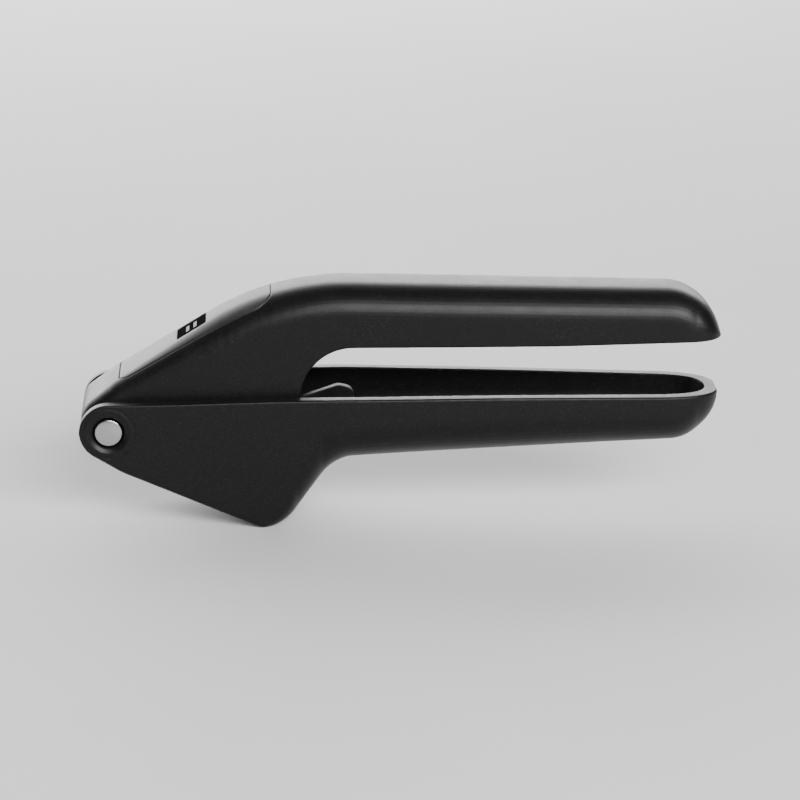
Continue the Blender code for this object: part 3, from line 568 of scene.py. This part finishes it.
def close_up(mesh):
    """Fill any face lost in cutting, so that the remesh sees a closed surface."""
    work = bmesh.new()
    work.from_mesh(mesh)
    bmesh.ops.holes_fill(work, edges=[edge for edge in work.edges if len(edge.link_faces) == 1], sides=0)
    bmesh.ops.triangulate(work, faces=[face for face in work.faces if len(face.verts) > 4])
    work.to_mesh(mesh)
    work.free()


def round_off(target, cell=VOXEL, rounds=SOFTEN, most=CASTING_FACES):
    """Remesh a piece evenly and smooth it, which rounds every edge as a casting's are."""
    close_up(target.data)
    remesh = target.modifiers.new("remesh", "REMESH")
    remesh.mode = "VOXEL"
    remesh.voxel_size = cell
    soften = target.modifiers.new("soften", "SMOOTH")
    soften.factor = 0.5
    soften.iterations = rounds
    settle(target)
    faces = len(target.data.polygons)
    if faces > most / 2:
        thin = target.modifiers.new("thin", "DECIMATE")
        thin.ratio = most / (2 * faces)
        settle(target)


def show(piece, look, body, material_slot, *nodes):
    """Finish a piece: material, smooth faces, its place at the hinge and the body that it rides on."""
    piece.data.materials.clear()
    piece.data.materials.append(look)
    piece.data.shade_smooth()
    piece.location = PIVOT
    bpy.context.view_layer.update()
    piece.data.transform(piece.matrix_world)
    piece.location = (0, 0, 0)
    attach(piece, body)
    if nodes:
        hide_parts(*nodes)
    return piece


# ---------------------------------------------------------------- castings

def make_lower_handle():
    stations = steps(-EAR_RADIUS + 0.01 * MM, END - 0.4 * MM, 0.6 * MM, EAR_RADIUS, 6 * MM)
    foot = EAR_RADIUS * math.cos(EAR_FOOT)

    def ear(x):
        return math.sqrt(max(0.0, EAR_RADIUS ** 2 - x ** 2))
    outer = loft("lower", stations, lower_width,
                 lambda x: min(BOTTOM(x) if x > foot else -ear(x), 10.1 * MM),
                 lambda x: RIM(x) if x > 0 else ear(x), lower_belly, even(0.6 * MM))
    handle = place("lower_handle_casting", outer)
    open_below = 3.4 * MM
    stations = [-10 * MM, open_below - 0.01 * MM]
    stations += steps(open_below, CAVITY_END - 0.05 * MM, 0.8 * MM, 0, 5 * MM)
    combine(handle, "DIFFERENCE", loft(
        "hollow", stations, lower_cavity_width, lambda x: FLOOR(x) if x >= open_below else -THROUGH,
        lambda x: THROUGH, lower_hollow_corner, even(0.1 * MM)))
    window = [slanted(18 * MM, -12 * MM), slanted(46 * MM, -12 * MM), slanted(46 * MM, -7.5 * MM),
              slanted(18 * MM, -7.5 * MM)]
    combine(handle, "DIFFERENCE", prism("window", window, -11 * MM, 11 * MM))
    combine(handle, "DIFFERENCE", rod("bores", EAR_BORE, EAR_BORE, -THROUGH, THROUGH))
    for side in (-1, 1):
        combine(handle, "DIFFERENCE", dish(side))
        combine(handle, "DIFFERENCE", groove(side))
    round_off(handle)
    return show(handle, CASTING, "lower_handle", "coated_casting", "lower_handle")


def on_side(mesh, side):
    """A tool made for the ear at +y, mirrored when side is the other one."""
    if side < 0:
        mesh.transform(Matrix.Diagonal((1, -1, 1, 1)))
        keep_out(mesh)
    return mesh


def dish(side):
    """The recess round a pin head: a flat floor and a wall that curves out to the ear's face."""
    floor, high = HALF_WIDTH - 2.2 * MM, HALF_WIDTH + 0.4 * MM
    mouth = 5.95 * MM
    curve = rounded([(0, floor, 0), (4.35 * MM, floor, 0.3 * MM),
                     (4.5 * MM, HALF_WIDTH - 0.8 * MM, 0.35 * MM), (mouth, HALF_WIDTH + 0.05 * MM, 0),
                     (mouth, high, 0)])
    profile = [(point.x, point.y) for point in curve] + [(0, high)]
    return on_side(turned("dish", profile, 96), side)


def groove(side):
    """A faint turned ring in the ear's face, round the recess."""
    inner, outer = GROOVE_RADIUS - GROOVE_HALF_WIDTH, GROOVE_RADIUS + GROOVE_HALF_WIDTH
    high = HALF_WIDTH + 0.2 * MM
    ring = [(inner, high), (inner, HALF_WIDTH), (GROOVE_RADIUS, HALF_WIDTH - GROOVE_DEPTH),
            (outer, HALF_WIDTH), (outer, high), (inner, high)]
    return on_side(turned("groove", ring, 96), side)


def upper_outer(name):
    """The upper handle's outer solid, with extra stations where its lower edge steps."""
    stations = steps(-HUB_RADIUS + 0.03 * MM, END - 0.36 * MM, 0.6 * MM, HUB_RADIUS, 6 * MM)
    stations = sorted(stations + [HUB_BACK - 0.01 * MM, HUB_BACK + 0.01 * MM, 54.18 * MM, 54.22 * MM,
                                  54.3 * MM, 54.4 * MM, 54.6 * MM, 54.9 * MM])
    return loft(name, stations, upper_width, upper_low, RIDGE, even(0.5 * MM), upper_shoulder, UPPER_CROWN)


def inlay_band(depth, start, end):
    """Side view of the layer that the cover strip fills."""
    below = []
    for x in np.linspace(start - 4 * MM, end + 4 * MM, 60):
        slope = math.atan((RIDGE(x + 0.5 * MM) - RIDGE(x - 0.5 * MM)) / MM)
        below.append((x + depth * math.sin(slope), RIDGE(x) - depth * math.cos(slope)))
    return below + [(below[-1][0], 60 * MM), (below[0][0], 60 * MM)]


def inlay_block(name, gap):
    """The space of the cover strip, grown all round by a gap."""
    depth = INLAY_DEPTH + gap
    start, end = INLAY_START - gap, INLAY_END + gap
    block = place(name, prism(name, inlay_band(depth, start, end), -20 * MM, 20 * MM))
    wide = INLAY_HALF_WIDTH + gap
    front, back = INLAY_FRONT_CORNER + gap, INLAY_BACK_CORNER + gap
    plan = rounded([((start + end) / 2, -wide, 0), (end, -wide, back), (end, wide, back),
                    (start, wide, front), (start, -wide, front), ((start + end) / 2, -wide, 0)])
    mesh = prism("plan", plan[:-1], -70 * MM, 5 * MM)
    mesh.transform(Matrix.Rotation(-math.pi / 2, 4, "X"))
    combine(block, "INTERSECT", keep_out(mesh))
    mesh = block.data
    bpy.data.objects.remove(block)
    return mesh


def make_upper_handle():
    handle = place("upper_handle_casting", upper_outer("upper"))
    stations = steps(12 * MM, CAVITY_END - 0.1 * MM, 0.8 * MM, 0, 5 * MM)
    combine(handle, "DIFFERENCE", loft(
        "hollow", stations, upper_cavity_width, lambda x: -5 * MM, ROOF, even(0.1 * MM),
        upper_hollow_corner))
    combine(handle, "DIFFERENCE", inlay_block("recess", SEAM))
    combine(handle, "DIFFERENCE", rod("bore", HUB_BORE, HUB_BORE, -15 * MM, 15 * MM))
    round_off(handle)
    return show(handle, CASTING, "upper_handle", "coated_casting", "upper_handle")


def ramp_frame(along):
    """The frame on the ramp at a distance from the hinge, with its z axis square to the ramp."""
    base = on_ramp(along, 0)
    return Matrix.Translation((base[0], 0, base[1])) @ Matrix.Rotation(-RAMP, 4, "Y")


def slant_frame(along):
    """The frame on the sieve's slant at a distance from the hinge, with its z axis square to it."""
    base = slanted(along, 0)
    return Matrix.Translation((base[0], 0, base[1])) @ Matrix.Rotation(SLANT, 4, "Y")


def block_mesh(name, low, high, edge=0.0):
    """A box between two corners, its edges rounded where a radius is given."""
    work = bmesh.new()
    bmesh.ops.create_cube(work, size=1)
    low, high = Vector(low), Vector(high)
    size = Matrix.Diagonal((*(high - low), 1))
    bmesh.ops.transform(work, matrix=Matrix.Translation((low + high) / 2) @ size, verts=work.verts)
    if edge:
        bmesh.ops.bevel(work, geom=list(work.edges), offset=edge, segments=3, profile=0.5, affect="EDGES")
    return mesh_of(name, work)


def make_inlay():
    inlay = place("cover_strip", upper_outer("inlay"))
    combine(inlay, "INTERSECT", inlay_block("strip", 0.0))
    half = BADGE_SIZE / 2 + SEAM
    pocket = block_mesh("pocket", (-half, -half, RAMP_DISTANCE - 0.9 * MM),
                        (half, half, RAMP_DISTANCE + MM))
    pocket.transform(ramp_frame(BADGE_ALONG))
    combine(inlay, "DIFFERENCE", pocket)
    round_off(inlay, (0.25) * MM, 3)
    return show(inlay, PLASTIC, "upper_handle", "black_plastic", "top_inlay")


def make_badge():
    half = BADGE_SIZE / 2
    top = RAMP_DISTANCE - 0.18 * MM
    mesh = block_mesh("badge", (-half, -half, top - 0.6 * MM), (half, half, top), 0.18 * MM)
    tile = mesh.uv_layers.new(name="tile")
    for corner, loop in zip(tile.data, mesh.loops):
        point = mesh.vertices[loop.vertex_index].co
        corner.uv = (0.5 + point.x / BADGE_SIZE, 0.5 + point.y / BADGE_SIZE)
    mesh.transform(ramp_frame(BADGE_ALONG))
    return show(place("badge_tile", mesh), BADGE, "upper_handle", "badge", "badge_plate")


# ---------------------------------------------------------------- hinge pin

def head_profile(radius, under, face, edge):
    """Half outline of a turned head: flat underside, straight edge, rounded rim and a faint dome."""
    dome = 0.3 * MM
    top = [(radius * share, face - dome * share ** 2) for share in (0.8, 0.6, 0.4, 0.2, 0)]
    curve = rounded([(0, under, 0), (radius, under, 0.15 * MM), (radius, face - dome, edge), (*top[0], 0)],
                    math.radians(12))
    return [(point.x, point.y) for point in curve] + top[1:]


def make_pin():
    under = HEAD_FACE - 1.4 * MM
    head = turned("head", head_profile(HEAD_RADIUS, under, HEAD_FACE, 0.35 * MM))
    head.transform(Matrix.Diagonal((1, -1, 1, 1)))
    barrel = place("pin_barrel", keep_out(head))
    combine(barrel, "UNION", rod("tube", 3 * MM, 3 * MM, -HEAD_FACE + 0.7 * MM, 15.6 * MM))
    combine(barrel, "DIFFERENCE", rod("bore", 1.7 * MM, 1.7 * MM, -12 * MM, 20 * MM, 32))
    show(barrel, PIN_STEEL, "lower_handle", "brushed_steel", "pivot_barrel")
    screw = place("pin_screw", turned("head", head_profile(HEAD_RADIUS, under, HEAD_FACE, 0.35 * MM)))
    combine(screw, "UNION", rod("shaft", 1.4 * MM, 1.4 * MM, -11 * MM, HEAD_FACE - 0.7 * MM, 32))
    combine(screw, "DIFFERENCE", rod("socket", 1.45 * MM, 1.45 * MM, HEAD_FACE - 0.8 * MM, 20 * MM, 6))
    show(screw, PIN_STEEL, "lower_handle", "brushed_steel", "pivot_screw")
    for piece in (barrel, screw):
        piece.data.set_sharp_from_angle(angle=math.radians(40))


# ---------------------------------------------------------------- sieve basket and its tab

def arc(radius, start, end, step=math.radians(2)):
    """Points on a circle about the hinge, in side view."""
    count = max(2, math.ceil(abs(end - start) / step))
    angles = [start + (end - start) * index / count for index in range(count + 1)]
    return [Vector((radius * math.cos(angle), radius * math.sin(angle))) for angle in angles]


def above_slant(radius, above):
    """The polar angle where a circle about the hinge meets a line parallel to the sieve."""
    return math.asin(above / radius) - SLANT


def under_ramp(radius, above):
    """The polar angle where a circle about the hinge meets a line parallel to the ramp."""
    return math.asin(above / radius) + RAMP


def moved(mesh, *frames):
    """The mesh, moved by each frame in turn."""
    for matrix in frames:
        mesh.transform(matrix)
    return mesh


def joined(name, meshes):
    work = bmesh.new()
    for mesh in meshes:
        work.from_mesh(mesh)
    return mesh_of(name, work)


def rivet_parts(radius, low, high, sides):
    """Cylinders along x on the rivets' centres, one for each side asked for."""
    lie = Matrix.Rotation(math.pi / 2, 4, "Y")
    return [moved(rod("rivet", radius, radius, low, high, 32, "Z"),
                  Matrix.Translation((0, side * RIVET_SPREAD, RIVET_HEIGHT)) @ lie) for side in sides]


def make_basket():
    base = -BASKET_BASE
    plate = (arc(BASKET_EYE, math.radians(70), math.radians(262)) + [slanted(11 * MM, base)]
             + arc(BASKET_BACK, above_slant(BASKET_BACK, base), math.asin(BASKET_TOP / BASKET_BACK))
             + [Vector((9 * MM, BASKET_TOP))])
    basket = place("basket", prism("basket", plate, -BASKET_HALF_WIDTH, BASKET_HALF_WIDTH))
    inside = BASKET_HALF_WIDTH - SHEET
    front, back, shelf = BASKET_FRONT + SHEET, BASKET_BACK - 1.2 * MM, base + FLANGE
    chamber = (arc(front, math.radians(60), above_slant(front, shelf))
               + arc(back, above_slant(back, shelf), math.radians(40)))
    combine(basket, "DIFFERENCE", prism("chamber", chamber, -inside, inside))
    nose_room = arc(BASKET_FRONT, math.radians(-70), math.radians(60)) + [
        Vector((-12 * MM, 14 * MM)), Vector((-12 * MM, -16 * MM))]
    combine(basket, "DIFFERENCE", prism("nose_room", nose_room, -inside, inside))
    mouth = block_mesh("mouth", (20.5 * MM, -11.3 * MM, -12 * MM), (45 * MM, 11.3 * MM, shelf + MM))
    combine(basket, "DIFFERENCE", moved(mouth, slant_frame(0)))
    combine(basket, "DIFFERENCE", rod("eyes", PIN_HOLE, PIN_HOLE, -THROUGH, THROUGH))
    combine(basket, "DIFFERENCE", joined("holes", rivet_parts(RIVET_HOLE, 48 * MM, 53 * MM, (-1, 1))))
    round_off(basket, (0.2) * MM, 1, 60000)
    show(basket, SHEET_STEEL, "sieve_basket", "brushed_steel", "sieve_basket")


def sieve_places():
    """Centres of the sieve's holes as (along the sieve, across it)."""
    return [(HOLES_MIDDLE + (row - (HOLE_ROWS - 1) / 2) * HOLE_PITCH,
             (column - (HOLE_COLUMNS - 1) / 2) * HOLE_PITCH)
            for row in range(HOLE_ROWS) for column in range(HOLE_COLUMNS)]


def pegs(places, radius_low, radius_high, low, high, sides=20):
    """Equal cylinders or cones square to the sieve."""
    return joined("pegs", [moved(rod("peg", radius_low, radius_high, low, high, sides, "Z"),
                                 Matrix.Translation((0, across, 0)), slant_frame(along))
                           for along, across in places])


def sharpen(piece, width):
    """Narrow bevels along a piece's sharp edges."""
    edges = piece.modifiers.new("edges", "BEVEL")
    edges.width = width
    edges.segments = 2
    edges.limit_method = "ANGLE"
    edges.angle_limit = math.radians(40)
    edges.use_clamp_overlap = True
    settle(piece)


def make_sieve():
    low = -BASKET_BASE + FLANGE + GAP
    high = low + SHEET
    start = math.sqrt((BASKET_FRONT + SHEET + GAP) ** 2 - low ** 2) + 0.2 * MM
    end = math.sqrt((BASKET_BACK - 1.5 * MM) ** 2 - low ** 2)
    half = BASKET_HALF_WIDTH - SHEET - GAP
    plate = block_mesh("sieve", (start, -half, low), (end, half, high), 0.15 * MM)
    sieve = place("sieve", moved(plate, slant_frame(0)))
    combine(sieve, "DIFFERENCE", pegs(sieve_places(), HOLE_RADIUS, HOLE_RADIUS, low - MM, high + MM))
    show(sieve, SHEET_STEEL, "sieve_basket", "brushed_steel", "sieve_plate")
    sieve.data.set_sharp_from_angle(angle=math.radians(25))


def make_tab():
    front = 51.4 * MM
    pad = rounded([(front, 4.6 * MM, 0), (front, -4.2 * MM, 0.3 * MM), (53.8 * MM, -3.6 * MM, 0.6 * MM),
                   (56.5 * MM, 1.2 * MM, 5 * MM), (70.2 * MM, 4.4 * MM, 0.8 * MM),
                   (69.9 * MM, 6.2 * MM, 0.8 * MM), (54.2 * MM, 3.3 * MM, 2 * MM), (53.4 * MM, 5 * MM, 0)])
    tab = place("tab", prism("tab", pad, -8 * MM, 8 * MM))
    fin = rounded([(52 * MM, 4 * MM, 0), (52.4 * MM, 5.2 * MM, 0.5 * MM), (65.5 * MM, 9.9 * MM, 4 * MM),
                   (70.3 * MM, 8.6 * MM, 2.6 * MM), (69.6 * MM, 5 * MM, 0.3 * MM), (60 * MM, 2.6 * MM, 0)])
    combine(tab, "UNION", prism("fin", fin, -1.3 * MM, 1.3 * MM))
    combine(tab, "DIFFERENCE", joined("holes", rivet_parts(RIVET_HOLE, 48 * MM, 54.6 * MM, (-1, 1))))
    combine(tab, "DIFFERENCE", joined("seats", rivet_parts(2.1 * MM, 53.5 * MM, 62 * MM, (-1, 1))))
    round_off(tab, (0.2) * MM, 3, 40000)
    show(tab, TAB_PLASTIC, "sieve_basket", "black_plastic", "lift_tab")
    for label, side in (("near", -1), ("far", 1)):
        rivet = place(f"rivet_{label}", rivet_parts(MM, 50 * MM, 54.2 * MM, (side,))[0])
        combine(rivet, "UNION", rivet_parts(1.9 * MM, 53.8 * MM, 54.6 * MM, (side,))[0])
        sharpen(rivet, 0.25 * MM)
        show(rivet, PIN_STEEL, "sieve_basket", "brushed_steel", f"tab_rivet_{label}")


# ---------------------------------------------------------------- plunger

def plunger_outline(front, back, top, bottom):
    """Side view of a block between two circles about the hinge, the ramp and the sieve's slant."""
    return (arc(front, under_ramp(front, top), above_slant(front, bottom))
            + arc(back, above_slant(back, bottom), under_ramp(back, top)))


def make_plunger():
    outline = plunger_outline(PLUNGER_FRONT, PLUNGER_BACK, PLUNGER_TOP, PLUNGER_BASE)
    body = place("plunger", prism("plunger", outline, -PLUNGER_HALF_WIDTH, PLUNGER_HALF_WIDTH))
    wall = 2.4 * MM
    hollow = plunger_outline(PLUNGER_FRONT + wall, PLUNGER_BACK - wall, PLUNGER_TOP + 3 * MM, 5 * MM)
    inner = PLUNGER_HALF_WIDTH - 2.2 * MM
    pocket = place("pocket", prism("pocket", hollow, -inner, inner))
    for along in PLUNGER_SCREWS:
        boss = rod("boss", 3.4 * MM, 3.4 * MM, -40 * MM, 12 * MM, 48, "Z")
        combine(pocket, "DIFFERENCE", moved(boss, ramp_frame(along)))
    combine(body, "DIFFERENCE", pocket.data)
    bpy.data.objects.remove(pocket)
    bore = SCREW_SHANK + GAP
    for along in PLUNGER_SCREWS:
        combine(body, "DIFFERENCE", moved(rod("bore", bore, bore, -6 * MM, 8 * MM, 24, "Z"),
                                          ramp_frame(along)))
    for along in FOOT_SCREWS:
        combine(body, "DIFFERENCE", moved(rod("bore", bore, bore, -3 * MM, 3.4 * MM, 24, "Z"),
                                          slant_frame(along)))
    round_off(body, (0.25) * MM, 3, 60000)
    show(body, CASTING, "upper_handle", "coated_casting", "plunger_body")


def make_foot():
    low, high = FOOT_LOW, PLUNGER_BASE - GAP
    start = math.sqrt(PLUNGER_FRONT ** 2 - low ** 2) + 0.7 * MM
    end = math.sqrt(PLUNGER_BACK ** 2 - low ** 2)
    slab = block_mesh("foot", (start, -FOOT_HALF_WIDTH, low), (end, FOOT_HALF_WIDTH, high), 0.3 * MM)
    foot = place("foot", moved(slab, slant_frame(0)))
    clear = [spot for spot in sieve_places()
             if min(math.hypot(spot[0] - along, spot[1]) for along in FOOT_SCREWS) > 3.6 * MM]
    combine(foot, "UNION", pegs(clear, 0.5 * MM, 0.75 * MM, low - 0.6 * MM, low + MM))
    bore, seat = SCREW_SHANK + GAP, SCREW_HEAD + GAP
    for along in FOOT_SCREWS:
        combine(foot, "DIFFERENCE", moved(rod("hole", bore, bore, low - 3 * MM, high + MM, 32, "Z"),
                                          slant_frame(along)))
        combine(foot, "DIFFERENCE", moved(rod("seat", seat, seat, low - MM, low + 1.4 * MM, 48, "Z"),
                                          slant_frame(along)))
    show(foot, SHEET_STEEL, "upper_handle", "brushed_steel", "plunger_foot")
    foot.data.set_sharp_from_angle(angle=math.radians(25))


def make_screw(name, frame_at, face, height, tip):
    """A pan-head screw with a hexagon socket: face is the head's outer side, tip the shank's end."""
    outward = 1 if face > tip else -1
    dome = 0.15 * MM
    head = rounded([(0, 0, 0), (SCREW_HEAD, 0, 0.1 * MM), (SCREW_HEAD, height - dome, 0.35 * MM),
                    (0, height, 0)], math.radians(12))
    screw = place(name, turned("head", [(point.x, point.y) for point in head], 48, "Z"))
    combine(screw, "UNION", rod("shank", SCREW_SHANK, SCREW_SHANK, -abs(face - tip) + height, 0.4 * MM,
                                32, "Z"))
    combine(screw, "DIFFERENCE", rod("socket", 1.1 * MM, 1.1 * MM, height - 0.6 * MM, height + MM, 6, "Z"))
    turn = Matrix.Identity(4) if outward > 0 else Matrix.Rotation(math.pi, 4, "X")
    moved(screw.data, turn, Matrix.Translation((0, 0, face - outward * height)), frame_at)
    keep_out(screw.data)
    show(screw, PIN_STEEL, "upper_handle", "brushed_steel", name.replace("_piece", ""))
    screw.data.set_sharp_from_angle(angle=math.radians(40))


def make_screws():
    for label, along in zip(("front", "rear"), PLUNGER_SCREWS):
        make_screw(f"plunger_screw_{label}_piece", ramp_frame(along), SCREW_SEAT + 1.3 * MM, MM, -5 * MM)
    for label, along in zip(("front", "rear"), FOOT_SCREWS):
        make_screw(f"foot_screw_{label}_piece", slant_frame(along), FOOT_LOW, 1.1 * MM, 2.8 * MM)


def make_bush():
    length = UPPER_HALF_WIDTH - 0.2 * MM
    bush = place("bush", rod("bush", BUSH_RADIUS, BUSH_RADIUS, -length, length, 96))
    combine(bush, "DIFFERENCE", rod("bore", EAR_BORE, EAR_BORE, -THROUGH, THROUGH, 96))
    sharpen(bush, 0.2 * MM)
    show(bush, BEARING, "upper_handle", "bearing_plastic", "hub_bush")
    bush.data.set_sharp_from_angle(angle=math.radians(50))


# ---------------------------------------------------------------- stage, light and camera

def make_stage():
    made, nodes, links, shader = shader_of("floor_look")
    cloud = noise(nodes, links, object_coordinates(nodes, links), 6, 3.0)
    links.new(ramp(nodes, links, cloud, [(0.3, (0.50, 0.50, 0.495)), (0.7, (0.53, 0.53, 0.525))]),
              shader.inputs["Base Color"])
    shader.inputs["Roughness"].default_value = 0.75
    work = bmesh.new()
    bmesh.ops.create_grid(work, x_segments=2, y_segments=2, size=6)
    floor = place("floor", mesh_of("floor", work))
    floor.data.materials.append(made)


def area_light(name, where, towards, size, power):
    """A rectangular softbox at where, turned to face a point."""
    light = bpy.data.lights.new(name, "AREA")
    light.shape = "RECTANGLE"
    light.size, light.size_y = size
    light.energy = power
    lamp = bpy.data.objects.new(name, light)
    bpy.context.scene.collection.objects.link(lamp)
    lamp.location = where
    lamp.rotation_euler = (Vector(towards) - Vector(where)).to_track_quat("-Z", "Y").to_euler()


def make_lights():
    world = bpy.data.worlds.new("studio")
    bpy.context.scene.world = world
    world.use_nodes = True
    backdrop = world.node_tree.nodes["Background"]
    backdrop.inputs["Color"].default_value = (0.80, 0.81, 0.83, 1)
    backdrop.inputs["Strength"].default_value = 0.03
    middle = (0, 0, 0.03)
    area_light("back_softbox", (-0.25, 1.1, 0.6), middle, (2.8, 1.0), 51)
    area_light("horizon_softbox", (-0.45, 1.35, 0.14), (-0.1, 0, 0.12), (1.6, 0.26), 10)
    area_light("left_softbox", (-1.35, 0.55, 0.62), middle, (0.9, 1.0), 11)
    area_light("front_softbox", (0.5, -1.1, 0.8), middle, (1.3, 0.48), 52)


def make_camera():
    """A long lens from a little left of square on, 18 degrees up, with the photograph's slight tilt."""
    azimuth, elevation, roll = math.radians(-3.5), math.radians(17.73), math.radians(1.473)
    distance = 0.867
    target = PIVOT + Vector((83.32 * MM, 0, 5.01 * MM))
    back = Vector((math.sin(azimuth) * math.cos(elevation), -math.cos(azimuth) * math.cos(elevation),
                   math.sin(elevation)))
    right = Vector((math.cos(azimuth), math.sin(azimuth), 0))
    up = back.cross(right)
    across = right * math.cos(roll) + up * math.sin(roll)
    above = up * math.cos(roll) - right * math.sin(roll)
    camera = bpy.data.objects.new("camera", bpy.data.cameras.new("camera"))
    bpy.context.scene.collection.objects.link(camera)
    camera.data.lens = 135
    camera.data.sensor_width = 36
    camera.rotation_mode = "QUATERNION"
    camera.rotation_quaternion = Matrix((across, above, back)).transposed().to_quaternion()
    camera.location = target + back * distance
    bpy.context.scene.camera = camera


make_camera()
make_stage()
make_lights()
make_lower_handle()
make_upper_handle()
make_inlay()
make_badge()
make_pin()
make_bush()
make_basket()
make_sieve()
make_tab()
make_plunger()
make_foot()
make_screws()
